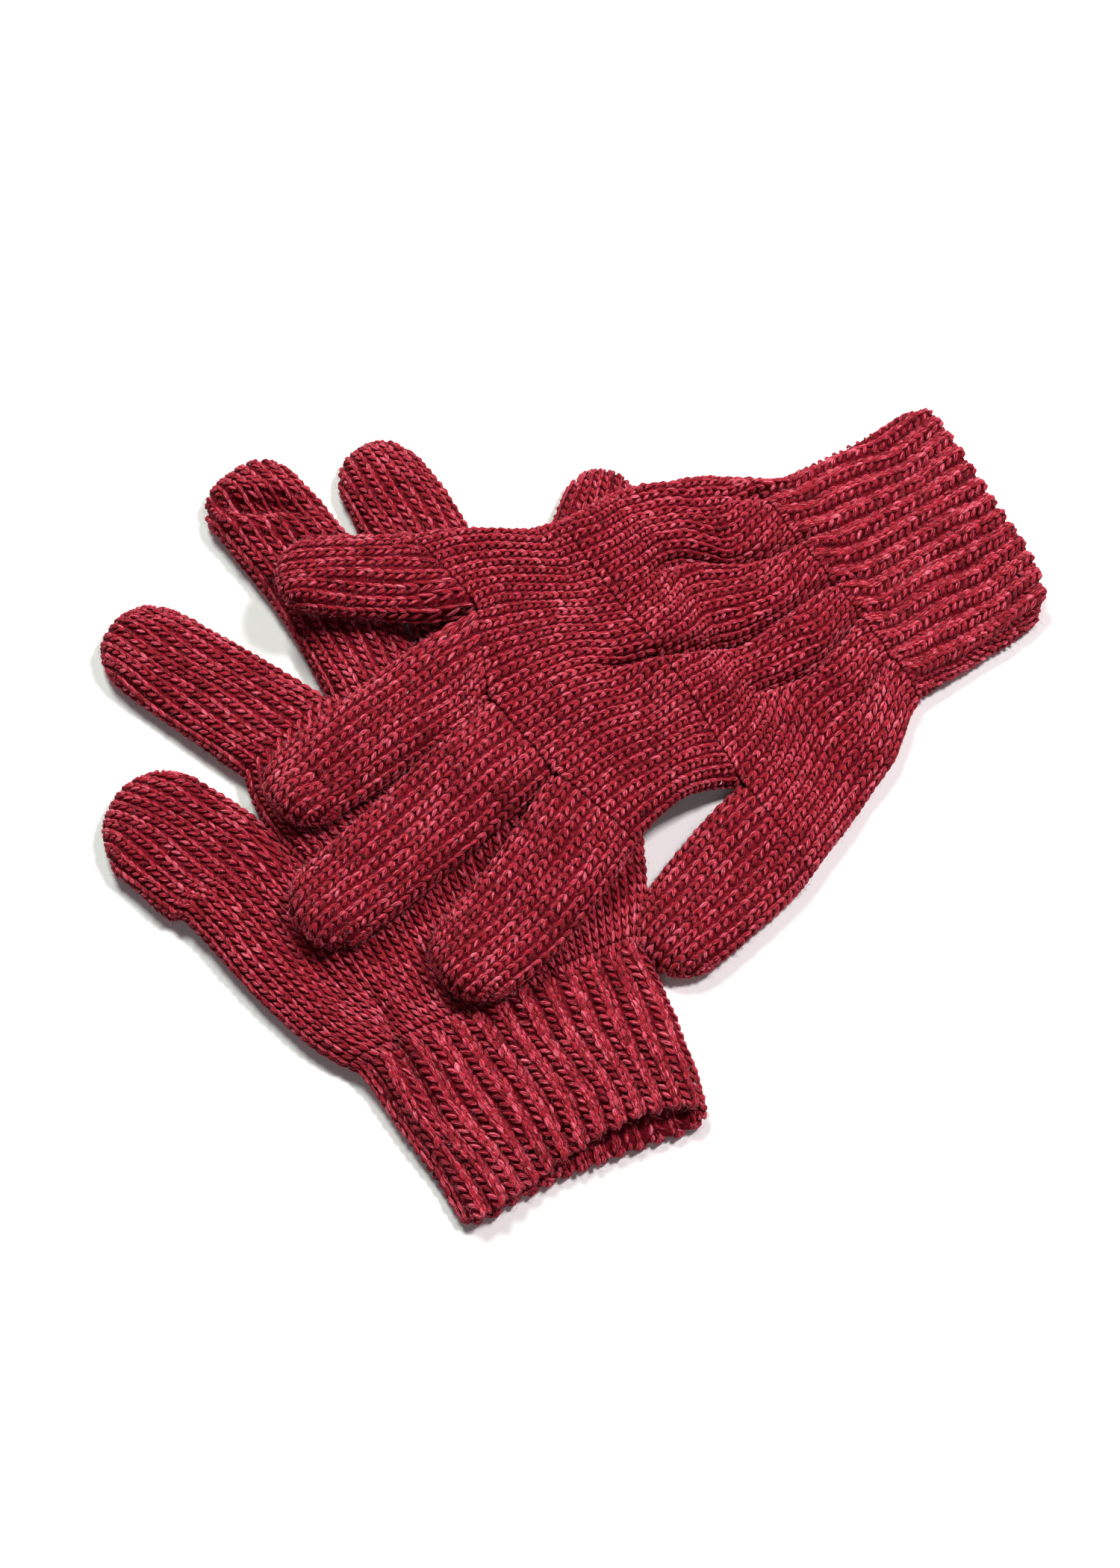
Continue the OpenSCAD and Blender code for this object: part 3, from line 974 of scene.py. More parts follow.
def glove_shapes() -> tuple[GloveShape, GloveShape]:
    """The two gloves as they lie.

    Returns:
        The lower glove and the upper glove.
    """
    lower = GloveShape(
        side=Side.LOWER,
        thumb_edge=((-50, 32.3), (-45, 33), (-36, 34), (-27, 36), (-17, 37.4), (-8, 38.7), (-2, 40.4),
                    (3, 44.8), (9, 48.7), (15, 51.5), (26, 55.7), (36, 58.8), (47, 62), (55, 65)),
        little_edge=((-50, -33), (-36, -35.5), (-23, -37), (-14, -37.5), (-3, -38), (4, -42),
                     (12, -46), (20, -49), (36, -55.5), (52, -62), (72, -68), (90, -73)),
        mouth=((36, -45), (31, -48.8), (25.6, -49.2), (19, -47.6), (6, -44.8), (-5, -43.2), (-17, -43),
               (-26, -44.2), (-31, -46.2), (-36, -47)),
        mouth_under=((36, -45), (31, -48.8), (25.6, -49.2), (19, -48), (6, -47.2), (-5, -47.8),
                     (-17, -48.6), (-26, -49.6), (-31, -49.6), (-36, -47.5)),
        thumb_fork=(31.5, 55.0),
        forks=((6.1, 94.3), (-20.5, 94.0), (-47.0, 92.0)),
        fingers=(
            FingerShape(Finger.THUMB, (65, 54.5), (31.5, 55.0),
                        ((48.2, 54.7), (53, 65), (58.5, 76), (63, 84), (69.6, 91.6)),
                        (35.0, 32.5, 27.0), 11, tip_reach=14.5, knuckle=20),
            FingerShape(Finger.INDEX, (35.0, 84.5), (6.1, 94.3),
                        ((20.5, 89.4), (27.5, 101.5), (34.6, 113.5), (42, 126), (49.8, 140)),
                        (29.0, 27.0, 22.5), 10, tip_reach=12.5, knuckle=27,
                        folds=(Fold(((48, 146), (42, 137), (33, 134)), 1.6, 2.0),)),
            FingerShape(Finger.MIDDLE, (6.1, 94.3), (-20.5, 94.0),
                        ((-7.2, 94.2), (-6.4, 112), (-5.2, 130), (-1.3, 148.5), (4.3, 169.4)),
                        (27.2, 28.0, 26.5), 9, tip_reach=12.0, knuckle=47,
                        folds=(Fold(((13, 162), (4.5, 154.5), (-3.9, 152.5), (-10, 147)), 3.6, 2.6, 0.75),)),
            FingerShape(Finger.RING, (-20.5, 94.0), (-47.0, 92.0),
                        ((-33.8, 93), (-35.2, 112), (-35, 130), (-33, 148), (-31.3, 161.8)),
                        (26.0, 26.0, 20.5), 9, tip_reach=12.0, knuckle=51),
            FingerShape(Finger.LITTLE, (-47.0, 92.0), (-73.0, 90.0),
                        ((-60, 91), (-69, 101), (-78, 112), (-89.5, 127)),
                        (24.0, 21.0, 16.5), 8, tip_reach=10.0),
        ),
        folds=(Fold(((33, 24), (29, 8), (29.5, -8), (28.5, -26), (26, -42)), 2.6, 1.5),
               Fold(((44, 40), (38, 20), (33, 6)), 1.6, 3.0),
               Fold(((12, 20), (9, 6), (9, -6)), 1.2, 2.0)),
        open_across=(12.0, -10.0), open_height=(5.2, 9.1), climb=0.0, waist=-2.2, seed=11,
    )
    upper = GloveShape(
        side=Side.UPPER,
        thumb_edge=((-54, 33), (-36, 34.2), (-22, 34), (-7, 33.8), (-1, 34), (5, 37.2), (9, 40.5),
                    (15.5, 45.2), (25, 49), (35, 53), (46, 57), (53.2, 59.8)),
        little_edge=((-54, -35), (-47, -36.8), (-27, -37.2), (-8, -38.8), (-3.5, -42), (0, -45),
                     (3.5, -47), (9, -48.8), (14, -49.4), (20, -50.4), (28, -54.6), (36, -56.5),
                     (45, -56.6), (53.2, -57.5), (60, -59.5), (66, -63.5), (73, -69), (80, -73), (87, -76)),
        mouth=((36, -36), (35, -37.5), (30, -44.2), (21, -47.6), (12, -49.2), (1.4, -50.2), (-9, -51.7),
               (-19.5, -52.4), (-31, -52.6), (-35, -51.5), (-38, -49)),
        mouth_under=((36, -36), (35, -37.5), (30, -43.4), (21, -46.4), (12, -48), (1.4, -49.4),
                     (-9, -51), (-19.5, -51.8), (-31, -52.2), (-35, -51.3), (-38, -49)),
        thumb_fork=(29.0, 53.2),
        forks=((2.8, 94.6), (-24.0, 96.5), (-47.5, 84.5)),
        fingers=(
            FingerShape(Finger.THUMB, (59.8, 53.2), (29.0, 53.2),
                        ((44.4, 53.2), (47.2, 64), (50.2, 76), (53.2, 88), (56, 101.2)),
                        (30.5, 26.5, 21.5), 10, tip_reach=11.5),
            FingerShape(Finger.INDEX, (30.5, 88.0), (2.8, 94.6),
                        ((16.7, 91.3), (23.5, 106), (29.5, 121), (33, 134), (34.5, 149)),
                        (28.0, 26.5, 23.5), 10, tip_reach=12.5,
                        folds=(Fold(((22, 96), (26, 108), (27, 118)), 0.9, 3.0),)),
            FingerShape(Finger.MIDDLE, (2.8, 94.6), (-24.0, 96.5),
                        ((-10.6, 95.6), (-6.5, 115), (-2.5, 135), (0.5, 153), (3, 171)),
                        (27.0, 25.5, 23.0), 9, tip_reach=12.5),
            FingerShape(Finger.RING, (-24.0, 96.5), (-47.5, 84.5),
                        ((-35.8, 90.5), (-34, 110), (-32, 130), (-30.5, 145), (-30, 158.5)),
                        (25.5, 24.5, 22.5), 9, tip_reach=12.0,
                        folds=(Fold(((-22, 151), (-28, 146), (-36, 149)), 1.8, 2.2),)),
            FingerShape(Finger.LITTLE, (-47.5, 84.5), (-76.0, 87.0),
                        ((-61.5, 85.8), (-68, 98), (-75.5, 110), (-83.5, 124)),
                        (25.0, 22.0, 18.5), 8, tip_reach=10.0, rise=4.6,
                        folds=(Fold(((-56, 92), (-65, 106), (-74, 118)), 0.8, 2.4),)),
        ),
        folds=(Fold(((-17, 58), (-13, 34), (-12, 12), (-12, -3)), -3.8, 6.0, 0.0),
               Fold(((5, 56), (5, 32), (3, 10), (2, -2)), -3.2, 5.4, 0.0),
               Fold(((22, 38), (20, 20), (15, 4)), -2.2, 4.4, 0.0),
               Fold(((-38, 40), (-33, 14), (-28, -2)), -2.6, 5.0, 0.0),
               Fold(((-14, 68), (-7, 48), (-3.4, 31), (-3.2, 18), (-4.8, 3), (-4, -5)), 8.0, 1.35, 0.15),
               Fold(((10.5, 37), (13.9, 20), (9.5, 6), (6, -3)), 7.0, 1.3, 0.15),
               Fold(((-30, 42), (-25.8, 24), (-20.2, 8), (-19.6, -6)), 5.5, 1.5, 0.2),
               Fold(((29, 20), (24.6, 5.5), (19, -5)), 2.8, 1.5, 0.3),
               Fold(((-43, 12), (-37, 1), (-31, -7)), 2.0, 1.8, 0.4),
               Fold(((22, 76), (0, 67), (-22, 64)), 1.1, 5.0, 0.3)),
        open_across=(-60.0, 60.0), open_height=(6.4, 6.6), climb=9.9, waist=3.3, seed=23,
    )
    return lower, upper


# ---- Knitting ----


@dataclass(frozen=True)
class Leg:
    """One leg of a V stitch: where it starts and ends, in wales to the right and courses up."""

    start: tuple[float, float]
    end: tuple[float, float]
    radius: float
    twist: float
    sink: float = 0.0


@dataclass(frozen=True)
class Stitch:
    """A stitch of this yarn.

    The yarn is overtwisted, so the right leg runs nearly straight up the wale and links with
    the next one like a rope, and the left leg slants out from it like a barb.
    """

    legs: tuple[Leg, ...]
    course: float
    nominal_wale: float
    arch: float
    flat: float = 0.85


PLAIN = Stitch(
    legs=(Leg((0.09, -0.36), (0.30, 1.16), 0.62, 1.6), Leg((0.05, -0.28), (-0.42, 0.88), 0.57, 1.3)),
    course=2.5, nominal_wale=2.9, arch=0.42,
)
# In the rib one wide wale, with a doubled rope, stands on each ridge, and a sunk strand of the
# purl wale fills the groove beside it.
RIB = Stitch(
    legs=(
        Leg((0.06, -0.40), (0.16, 1.20), 0.82, 1.6),
        Leg((0.25, -0.10), (0.34, 1.50), 0.72, 1.6),
        Leg((0.02, -0.26), (-0.36, 0.90), 0.64, 1.3),
        Leg((0.44, -0.30), (0.56, 1.10), 0.70, 1.5, sink=0.5),
    ),
    course=2.35, nominal_wale=5.0, arch=0.4,
)


@dataclass
class Knitter:
    """Knits stitches onto sheets and sets loose fibres on them."""

    place: Callable[[np.ndarray], np.ndarray]
    leg_form: StrandForm
    fibre_form: StrandForm
    draw: np.random.Generator

    # How unevenly a leg's ends fall, in wales and courses, and how high it stands, in mm.
    UNEVEN_ENDS = 0.035
    UNEVEN_HEIGHT = 0.07
    # Share of the loose fibres that are specks of lint.
    LINT_SHARE = 0.0016

    def knit(
        self, parts: Parts, sheet: Sheet, stitch: Stitch, wales: int, first: float, last: float,
        finish: int, shift: float = 0.0,
    ) -> None:
        """Knits one stretch of a sheet.

        Args:
            parts: the piece to add to.
            sheet: the sheet.
            stitch: the stitch.
            wales: wales round the whole tube.
            first: row of the first course.
            last: row the last course stays below.
            finish: index of the material slot.
            shift: how far round the wales start, in wales.
        """
        low, high = sheet.rows[0], sheet.rows[-1]
        courses = max(1, round((last - first) / stitch.course))
        pitch = (last - first) / courses
        course, wale = [g.ravel() for g in np.meshgrid(np.arange(courses), np.arange(wales), indexing="ij")]
        base_row = first + (course + 0.3) * pitch
        # Wales wander a little, as they do once a glove has been worn.
        sway = 0.12 * np.sin(0.16 * base_row + 21 * wale / wales)
        base_turn = (wale + 0.5 + shift + sway) / wales
        left, _ = sheet.read(base_row, base_turn - 0.5 / wales)
        right, _ = sheet.read(base_row, base_turn + 0.5 / wales)
        room = np.linalg.norm(right - left, axis=-1)
        # Where the fingertip narrows, wales end one after another.
        keep = (room > 1.35) | ((room > 0.75) & (wale % 2 == 0)) | ((room > 0.3) & (wale % 4 == 0))
        base_row, base_turn, room = base_row[keep], base_turn[keep], room[keep]
        size = np.clip(room / stitch.nominal_wale, 0.6, 1.12)
        n = len(base_row)
        for leg in stitch.legs:
            tau = self.leg_form.places[None, :]
            jitter = self.draw.normal(0, self.UNEVEN_ENDS, (n, 4))
            reach_t = (leg.start[1] + jitter[:, :1]) * (1 - tau) + (leg.end[1] + jitter[:, 1:2]) * tau
            reach_s = (leg.start[0] + jitter[:, 2:3]) * (1 - tau) + (leg.end[0] + jitter[:, 3:]) * tau
            row = np.clip(base_row[:, None] + reach_t * pitch, low, high)
            turn = base_turn[:, None] + reach_s / wales
            points, outward = sheet.read(row, turn)
            lift = stitch.arch * (np.sin(math.pi * tau) - 0.55) - leg.sink
            lift = lift + self.draw.normal(0, self.UNEVEN_HEIGHT, (n, 1))
            centres = points + outward * (lift * np.clip(size, 0.7, 1)[:, None])[..., None]
            radius = leg.radius * size ** 0.55 * self.draw.uniform(0.9, 1.1, n)
            laid = self.leg_form.lay(centres, outward, radius, stitch.flat)
            heather = self.draw.normal(0, 0.5, n) + 0.4 * self.patch(points[:, 2])
            parts.add_strands(self.leg_form, self.place(laid), finish, heather, leg.twist, self.draw)

    def patch(self, points: np.ndarray) -> np.ndarray:
        """Slow variation of the yarn's shade over the glove."""
        a = np.sin(points[:, 0] * 0.21 + 1.3 * np.sin(points[:, 1] * 0.11))
        b = np.sin(points[:, 1] * 0.33 + 2.0 + 1.7 * np.sin(points[:, 0] * 0.07))
        return 0.5 * (a + b)

    def fibres(self, parts: Parts, sheet: Sheet, count: int, first: float, last: float, finish: int) -> None:
        """Sets loose fibres and a few pale specks of lint.

        Args:
            parts: the piece to add to.
            sheet: the sheet.
            count: number of fibres.
            first: row they start at.
            last: row they end at.
            finish: index of the material slot.
        """
        row = self.draw.uniform(first, last, count)[:, None]
        turn = self.draw.uniform(0, 1, count)[:, None]
        tau = self.fibre_form.places[None, :]
        points, outward = sheet.read(np.repeat(row, tau.shape[1], 1), np.repeat(turn, tau.shape[1], 1))
        heading = self.draw.normal(0, 1, (count, 1, 3))
        heading = heading - outward[:, :1] * np.sum(heading * outward[:, :1], axis=-1, keepdims=True)
        heading /= np.linalg.norm(heading, axis=-1, keepdims=True)
        length = self.draw.uniform(0.7, 2.2, (count, 1, 1))
        rise = self.draw.uniform(0.15, 1.0, (count, 1, 1)) * length * 0.55
        bow = np.sin(math.pi * tau * self.draw.uniform(0.4, 1.0, (count, 1)))[..., None]
        reach = heading * length * (tau[..., None] - 0.3) * (1 - 0.45 * bow)
        centres = points + outward * (0.75 + rise * bow) + reach
        centres[..., 2] = np.maximum(centres[..., 2], 0.1)
        is_lint = self.draw.uniform(0, 1, count) < self.LINT_SHARE
        radius = np.where(is_lint, 0.11, self.draw.uniform(0.026, 0.044, count))
        laid = self.fibre_form.lay(centres, outward + 0.3 * heading, radius, 1.0)
        shade = np.where(is_lint, 1.0, self.draw.uniform(0, 0.88, count))
        parts.add_strands(self.fibre_form, self.place(laid), finish, shade, 0.0, self.draw)


@dataclass
class Glove:
    """One glove, knitted piece by piece."""

    shape: GloveShape
    wrist: tuple[float, float]
    heading: float
    finishes: Finishes
    leg_form: StrandForm
    fibre_form: StrandForm
    pieces: list[bpy.types.Object] = field(default_factory=list)

    # Wales over one face of the heel and of the palm, and ribs round the cuff.
    HAND_WALES = 44
    PALM_WALES = 34
    RIBS = 28
    # The hem's length, how far its fabric turns in, and the radius it turns round.
    HEM = 5.0
    TURN_IN = 9.0
    TURN_RADIUS = 1.15
    # The last of the cuff, next to the wrist, is already plain fabric.
    PLAIN_START = 2.5
    # Elastic threads of a cuff, their radius, and how far behind the ribs they run.
    ELASTICS = 6
    ELASTIC_RADIUS = 0.36
    ELASTIC_DEPTH = 1.55

    def __post_init__(self) -> None:
        """Sets up the knitter."""
        draw = np.random.default_rng(self.shape.seed)
        self.knitter = Knitter(self.place, self.leg_form, self.fibre_form, draw)

    @property
    def body(self) -> str:
        """The CAD body of the cuff and palm."""
        return "lower_glove" if self.shape.side is Side.LOWER else "upper_glove"

    def place(self, points: np.ndarray) -> np.ndarray:
        """Places plan points in the frame.

        Args:
            points: ... x 3, along, across and up in millimetres.

        Returns:
            The points in metres.
        """
        c, s = math.cos(self.heading), math.sin(self.heading)
        x = self.wrist[0] + points[..., 0] * c - points[..., 1] * s
        y = self.wrist[1] + points[..., 0] * s + points[..., 1] * c
        return np.stack([x, y, points[..., 2]], axis=-1) * MM

    def finish_piece(
        self, parts: Parts, label: str,
        bend: Optional[tuple[str, np.ndarray, np.ndarray]] = None, yarn: str = "plain",
    ) -> None:
        """Makes one piece and hides the CAD part that it stands for.

        Args:
            parts: its points and faces.
            label: the CAD node's name without the glove's.
            bend: if given, the piece is baked in place instead of being attached to a body;
            the second body and the bend's two ends in plan go unused.
            yarn: which yarn it is knitted from.
        """
        node = f"{self.shape.side.value}_{label}"
        finishes = [getattr(self.finishes, yarn), self.finishes.back, self.finishes.fibre]
        piece = parts.build(node + "_knit", finishes)
        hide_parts(node)
        if bend:
            other, start, end = bend
            tuple(self.place(start))
            tuple(self.place(end))
            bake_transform(piece)
        else:
            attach(piece, self.body)
        self.pieces.append(piece)

    # ---- Cuff ----

    def cuff_sheet(self) -> Sheet:
        """The cuff from inside its turned-in hem, round the mouth and up to the wrist.

        Returns:
            The sheet; its rows are below 0 inside the mouth.
        """
        shape = self.shape

        def edges(row: float) -> tuple[float, float]:
            """Edges for a row."""
            return shape.edges(-CUFF_LENGTH * (1 - row))

        def mouth_along(across: np.ndarray, row: float) -> np.ndarray:
            """Place along for a row; the two faces end apart where the mouth is open."""
            over = along_line(shape.mouth, across)
            under = along_line(shape.mouth_under, across)
            is_over = np.arange(len(across)) <= self.RIBS * 5
            return np.where(is_over, over, under) * (1 - row)

        outer = shape.hand_grid(
            np.linspace(0, 1, 64), mouth_along, edges, self.RIBS * 5, (), shape.height)
        outer = self.ridged(outer)
        away = outer.points[0] - outer.points[2]
        away /= np.linalg.norm(away, axis=1, keepdims=True)
        out = outer.outward[1]
        radius = self.TURN_RADIUS
        wrap = [
            outer.points[0] + out * (math.cos(a) - 1) * radius + away * math.sin(a) * radius
            for a in np.linspace(0, math.pi, 6)[1:]
        ]
        depth = outer.rows[outer.rows <= self.TURN_IN]
        inside = outer.points[:len(depth)] - outer.outward[:len(depth)] * 2 * radius
        # Inside the mouth the two faces stay this far from the level between them.
        upper = np.arange(inside.shape[1]) <= inside.shape[1] // 2
        middle = outer.middle[0]
        for row in list(inside) + wrap:
            row[:, 2] = np.where(
                upper, np.maximum(row[:, 2], middle + 0.55), np.minimum(row[:, 2], middle - 0.55))
        points = np.concatenate([inside[:0:-1], np.array(wrap)[::-1], outer.points])
        arc = math.pi * radius
        rows = np.concatenate([-arc - depth[:0:-1], -np.linspace(arc, 0, 6)[:-1], outer.rows])
        return Sheet(rows, points)

    def ridged(self, sheet: Sheet) -> Sheet:
        """Raises the ribs, which fade out above the wrist.

        Args:
            sheet: a sheet of the cuff or the heel.

        Returns:
            The ribbed sheet.
        """
        turn = np.arange(sheet.points.shape[1]) / sheet.points.shape[1]
        fade = smooth(-sheet.points[..., 0], -12.0, 9.0)
        return sheet.pushed(0.5 * np.cos(math.tau * self.RIBS * turn)[None, :] * fade)

    def make_cuff(self) -> None:
        """Makes the hem, the rib and the elastic."""
        sheet = self.cuff_sheet()
        top = float(sheet.rows[-1])
        low = float(sheet.rows[0])
        for label, first, last, fuzz in (
            ("cuff_hem", low, self.HEM, 1000), ("cuff_rib", self.HEM, top, 2600),
        ):
            parts = Parts()
            shell, faces = sheet.shell(*RIB_BACK, first, last, False)
            parts.add(self.place(shell), faces, 1)
            ribbed = min(last, top - self.PLAIN_START)
            self.knitter.knit(parts, sheet, RIB, self.RIBS, first, ribbed, 0, shift=-0.5)
            if last > ribbed:
                self.knitter.knit(parts, sheet, PLAIN, 2 * self.HAND_WALES, ribbed, last, 0)
            self.knitter.fibres(parts, sheet, fuzz, max(first, -3.0), last, 2)
            self.finish_piece(parts, label, yarn="rib")
        self.make_elastic(sheet)

    def make_elastic(self, sheet: Sheet) -> None:
        """Makes the elastic threads behind the ribs.

        Args:
            sheet: the cuff's sheet.
        """
        parts = Parts()
        turns, sides = 104, 5
        around = np.arange(turns) / turns
        for row in np.linspace(self.HEM + 4, sheet.rows[-1] - 11, self.ELASTICS):
            points, outward = sheet.read(np.full(turns, row), around)
            centre = points - outward * self.ELASTIC_DEPTH
            angles = np.arange(sides) / sides * math.tau
            ring = (
                centre[:, None]
                + outward[:, None] * (self.ELASTIC_RADIUS * np.cos(angles))[None, :, None]
                + np.array([1.0, 0, 0]) * (self.ELASTIC_RADIUS * np.sin(angles))[None, :, None]
            )
            index = np.arange(turns * sides).reshape(turns, sides)
            onward, beside = np.roll(index, -1, axis=0), np.roll(index, -1, axis=1)
            faces = np.stack([index, onward, np.roll(onward, -1, axis=1), beside], axis=-1).reshape(-1, 4)
            strand = np.stack([
                np.repeat(around * 90, sides), np.tile(np.cos(angles), turns), np.tile(np.sin(angles), turns)
            ], axis=1)
            parts.add(self.place(ring.reshape(-1, 3)), [faces], 0, strand)
        self.finish_piece(parts, "cuff_elastic", yarn="elastic")

    # ---- Hand ----

    def make_hand(self) -> None:
        """Makes the heel of the hand and the palm."""
        shape = self.shape
        fork_across, fork_along = shape.thumb_fork

        def heel_edges(row: float) -> tuple[float, float]:
            """Edges for a row of the heel."""
            return shape.edges(fork_along * row)

        heel = shape.hand_grid(
            np.linspace(0, 1, 66), lambda across, row: np.full(np.shape(across), fork_along * row),
            heel_edges, self.HAND_WALES * 3, (shape.thumb_fork,), shape.height)
        self.make_part("palm_heel", self.ridged(heel), 2 * self.HAND_WALES, 1400)

        ends = [f.thumb_end for f in shape.fingers[1:]] + [shape.fingers[-1].little_end]
        top_line: Points = tuple((e[0], e[1]) for e in ends)
        thumb_side = shape.fingers[1].thumb_end

        def palm_edges(row: float) -> tuple[float, float]:
            """Edges for a row of the palm."""
            _, little = shape.edges(fork_along + (ends[-1][1] - fork_along) * row)
            thumb = fork_across + (thumb_side[0] - fork_across) * row - shape.waist * 4 * row * (1 - row)
            return thumb, little

        palm = shape.hand_grid(
            np.linspace(0, 1, 50),
            lambda across, row: fork_along + (along_line(top_line, across) - fork_along) * row,
            palm_edges, self.PALM_WALES * 3, shape.forks, shape.height)
        self.make_part("palm", palm, 2 * self.PALM_WALES, 1800)

    def make_part(self, label: str, sheet: Sheet, wales: int, fuzz: int) -> None:
        """Makes one plain part of the hand.

        Args:
            label: the CAD node's name without the glove's.
            sheet: its sheet.
            wales: wales round it.
            fuzz: number of loose fibres.
        """
        parts = Parts()
        first, last = float(sheet.rows[0]), float(sheet.rows[-1])
        shell, faces = sheet.shell(*BACK, first, last, False)
        parts.add(self.place(shell), faces, 1)
        self.knitter.knit(parts, sheet, PLAIN, wales, first, last, 0)
        self.knitter.fibres(parts, sheet, fuzz, first, last, 2)
        self.finish_piece(parts, label)

    # ---- Fingers ----

    def make_finger(self, finger: FingerShape) -> None:
        """Makes one finger, in two pieces where its CAD nodes are two.

        Args:
            finger: the finger's shape.
        """
        shape = self.shape
        lie = 0.0 if finger.finger is Finger.THUMB else shape.climb
        sheet = finger.sheet(lie, shape.relief)
        last = float(sheet.rows[-1])
        name = finger.finger.value
        run, points = finger.middle_line()

        def at(distance: float) -> np.ndarray:
            """A point of the middle line, in plan."""
            across, along = on_path(np.array(distance), run, points)
            return np.array([along, across, lie + HAND_HEIGHT / 2])

        stretches: list[tuple[str, float, float, Optional[tuple[str, np.ndarray, np.ndarray]]]]
        if shape.side is Side.UPPER:
            stretches = [(name, 0.0, last, (f"upper_{name}", at(0.5), at(24.0)))]
        elif finger.knuckle:
            cut = finger.knuckle
            stretches = [
                (f"{name}_base", 0.0, cut, None),
                (f"{name}_end", cut, last, (f"lower_{name}_end", at(cut), at(cut + 18.0))),
            ]
        else:
            stretches = [(name, 0.0, last, None)]
        for label, first, end, bend in stretches:
            parts = Parts()
            closed = end == last
            tip = last - 1.2 if closed else end
            shell, faces = sheet.shell(*BACK, first, tip, closed)
            parts.add(self.place(shell), faces, 1)
            self.knitter.knit(parts, sheet, PLAIN, 2 * finger.wales, first, end, 0)
            self.knitter.fibres(parts, sheet, int(30 * (end - first)), first, end, 2)
            self.finish_piece(parts, label, bend=bend)

    def make_fork_stitches(self) -> None:
        """Makes the lumpy closing stitches at the four forks."""
        parts = Parts()
        draw = self.knitter.draw
        shape = self.shape
        for across, along in (shape.thumb_fork,) + shape.forks:
            middle = float(shape.lie(np.array(across), np.array(along))) + HAND_HEIGHT / 2
            count = 9
            start = np.array([along - 1.5, across, middle]) + draw.normal(0, (0.8, 1.2, 1.1), (count, 3))
            run = draw.normal(0, 1, (count, 3)) * (1.1, 1.9, 1.3)
            run = run / np.linalg.norm(run, axis=1, keepdims=True) * draw.uniform(1.7, 2.6, (count, 1))
            tau = self.leg_form.places[None, :, None]
            centres = start[:, None] + run[:, None] * (tau - 0.5)
            out = np.repeat(draw.normal(0, 1, (count, 1, 3)), tau.shape[1], 1)
            out /= np.linalg.norm(out, axis=-1, keepdims=True)
            centres = centres + out * 0.5 * np.sin(math.pi * tau)
            laid = self.leg_form.lay(centres, out, draw.uniform(0.5, 0.7, count), 0.9)
            parts.add_strands(
                self.leg_form, self.place(laid), 0, draw.normal(0, 0.4, count), 1.5, draw)
        self.finish_piece(parts, "fork_stitches", yarn="darning")

    def build(self) -> list[bpy.types.Object]:
        """Makes every piece of the glove.

        Returns:
            The pieces, from the hem to the fork stitches.
        """
        self.make_cuff()
        self.make_hand()
        for finger in self.shape.fingers:
            self.make_finger(finger)
        self.make_fork_stitches()
        return self.pieces


# ---- Studio ----


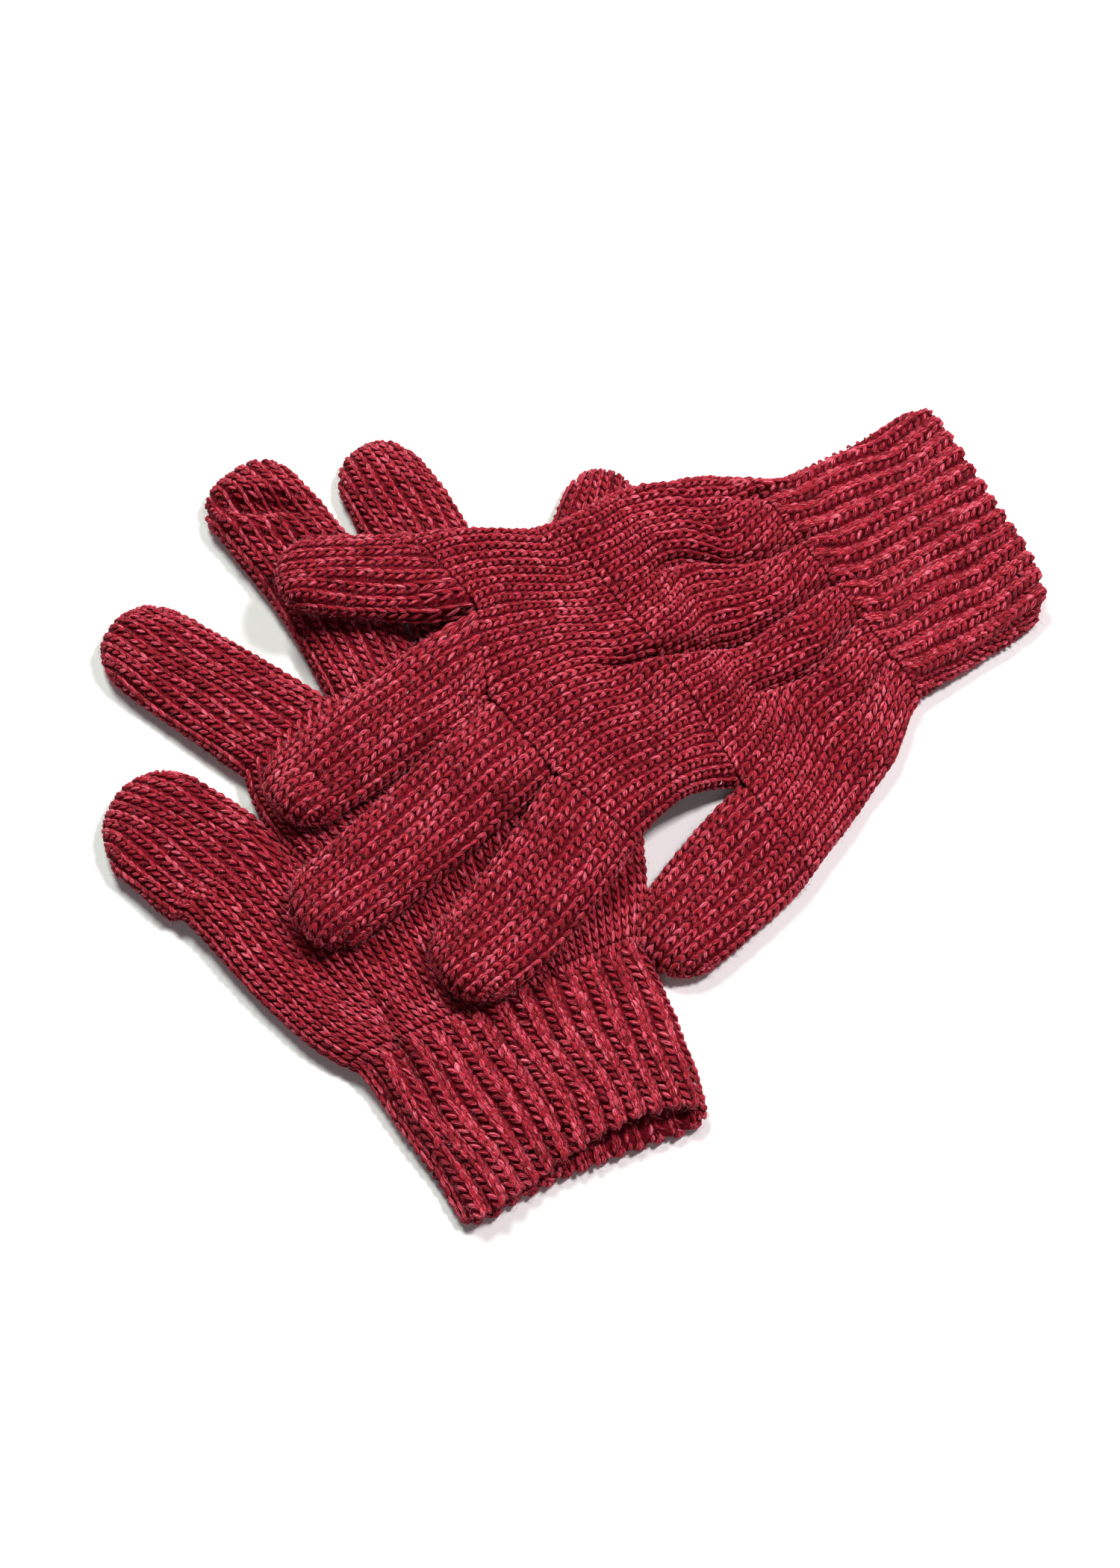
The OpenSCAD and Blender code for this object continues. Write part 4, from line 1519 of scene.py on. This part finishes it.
@dataclass(frozen=True)
class Studio:
    """A plain white floor, two soft lights behind the gloves, a weak one in front, and the camera."""

    centre: tuple[float, float, float] = (-0.0059, 0.0008, 0.0)
    distance: float = 0.85
    elevation: float = 66.0
    axis_lift: float = 0.328
    lens: float = 74.85

    def build(self) -> None:
        """Builds the floor, the lights and the camera."""
        bpy.ops.object.select_all(action="DESELECT")
        bpy.ops.mesh.primitive_plane_add(size=6.0, location=(0, 0, -0.0004))
        floor = bpy.context.object
        floor.name = "studio_floor"
        material = bpy.data.materials.new("matt_white_paper")
        material.use_nodes = True
        shader = material.node_tree.nodes["Principled BSDF"]
        shader.inputs["Base Color"].default_value = linear("F2F1F2")
        shader.inputs["Roughness"].default_value = 0.9
        shader.inputs["Specular IOR Level"].default_value = 0.1
        floor.data.materials.append(material)

        world = bpy.data.worlds.new("studio")
        world.use_nodes = True
        world.node_tree.nodes["Background"].inputs["Color"].default_value = linear("F4F4FA")
        world.node_tree.nodes["Background"].inputs["Strength"].default_value = 0.07
        bpy.context.scene.world = world
        self.light("right_light", (0.76, 0.38, 1.46), 0.28, 26.0, "FFF8F8")
        self.light("front_fill", (-0.10, -1.05, 1.35), 0.70, 2.2, "FFFFFF")
        self.light("back_light", (-0.42, 0.92, 1.42), 0.45, 26.0, "F8FFF6")

        camera = bpy.data.cameras.new("camera")
        camera.lens, camera.sensor_width = self.lens, 36.0
        holder = bpy.data.objects.new("camera", camera)
        tilt = math.radians(self.elevation)
        holder.location = Vector(self.centre) + self.distance * Vector((0, -math.cos(tilt), math.sin(tilt)))
        holder.rotation_euler = (math.radians(90 - self.elevation + self.axis_lift), 0, 0)
        bpy.context.scene.collection.objects.link(holder)
        bpy.context.scene.camera = holder
        bpy.context.scene.view_settings.view_transform = "Standard"

    def light(
        self, name: str, place: tuple[float, float, float], size: float, power: float, colour: str
    ) -> None:
        """Adds one soft light aimed at the middle of the gloves.

        Args:
            name: its name.
            place: where it stands, in metres.
            size: side of its square, in metres.
            power: in watts.
            colour: sRGB hex value.
        """
        lamp = bpy.data.lights.new(name, "AREA")
        lamp.shape, lamp.size, lamp.energy = "SQUARE", size, power
        lamp.color = linear(colour)[:3]
        holder = bpy.data.objects.new(name, lamp)
        holder.location = place
        holder.rotation_euler = (Vector(self.centre) - Vector(place)).to_track_quat("-Z", "Y").to_euler()
        bpy.context.scene.collection.objects.link(holder)


def lay_of(record: dict[str, Any], mouth: str) -> tuple[tuple[float, float], float]:
    """Reads where a glove lies from its cuff mouth in the record.

    Args:
        record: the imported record.
        mouth: name of the mount at the cuff's mouth.

    Returns:
        The wrist's place in millimetres, and the heading in radians.
    """
    mount = next(m for m in record["mounts"] if m["name"] == mouth)
    x, y = mount["pos_m"][0] / MM, mount["pos_m"][1] / MM
    ahead_x, ahead_y = -mount["axis"][0], -mount["axis"][1]
    wrist = (x + ahead_x * CUFF_LENGTH, y + ahead_y * CUFF_LENGTH)
    return wrist, math.atan2(ahead_y, ahead_x)


def corners(box: Any) -> list[list[float]]:
    """A box as plain lists."""
    return [[float(c) for c in corner] for corner in box]


def main() -> None:
    """Builds the gloves and the studio."""
    logging.basicConfig(level=logging.INFO, format="%(message)s")
    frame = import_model()
    finishes = Finishes.build()
    leg_form, fibre_form = StrandForm(6, 5), StrandForm(3, 4)
    for shape, mouth in zip(glove_shapes(), ("lower_cuff_mouth", "upper_cuff_mouth")):
        wrist, heading = lay_of(frame["record"], mouth)
        for piece in Glove(shape, wrist, heading, finishes, leg_form, fibre_form).build():
            LOG.info("%s: %d faces of %s", piece.name, len(piece.data.polygons), shape.side.value)
    Studio().build()
    LOG.info("studio: floor, lights and camera")


if __name__ == "__main__":
    main()
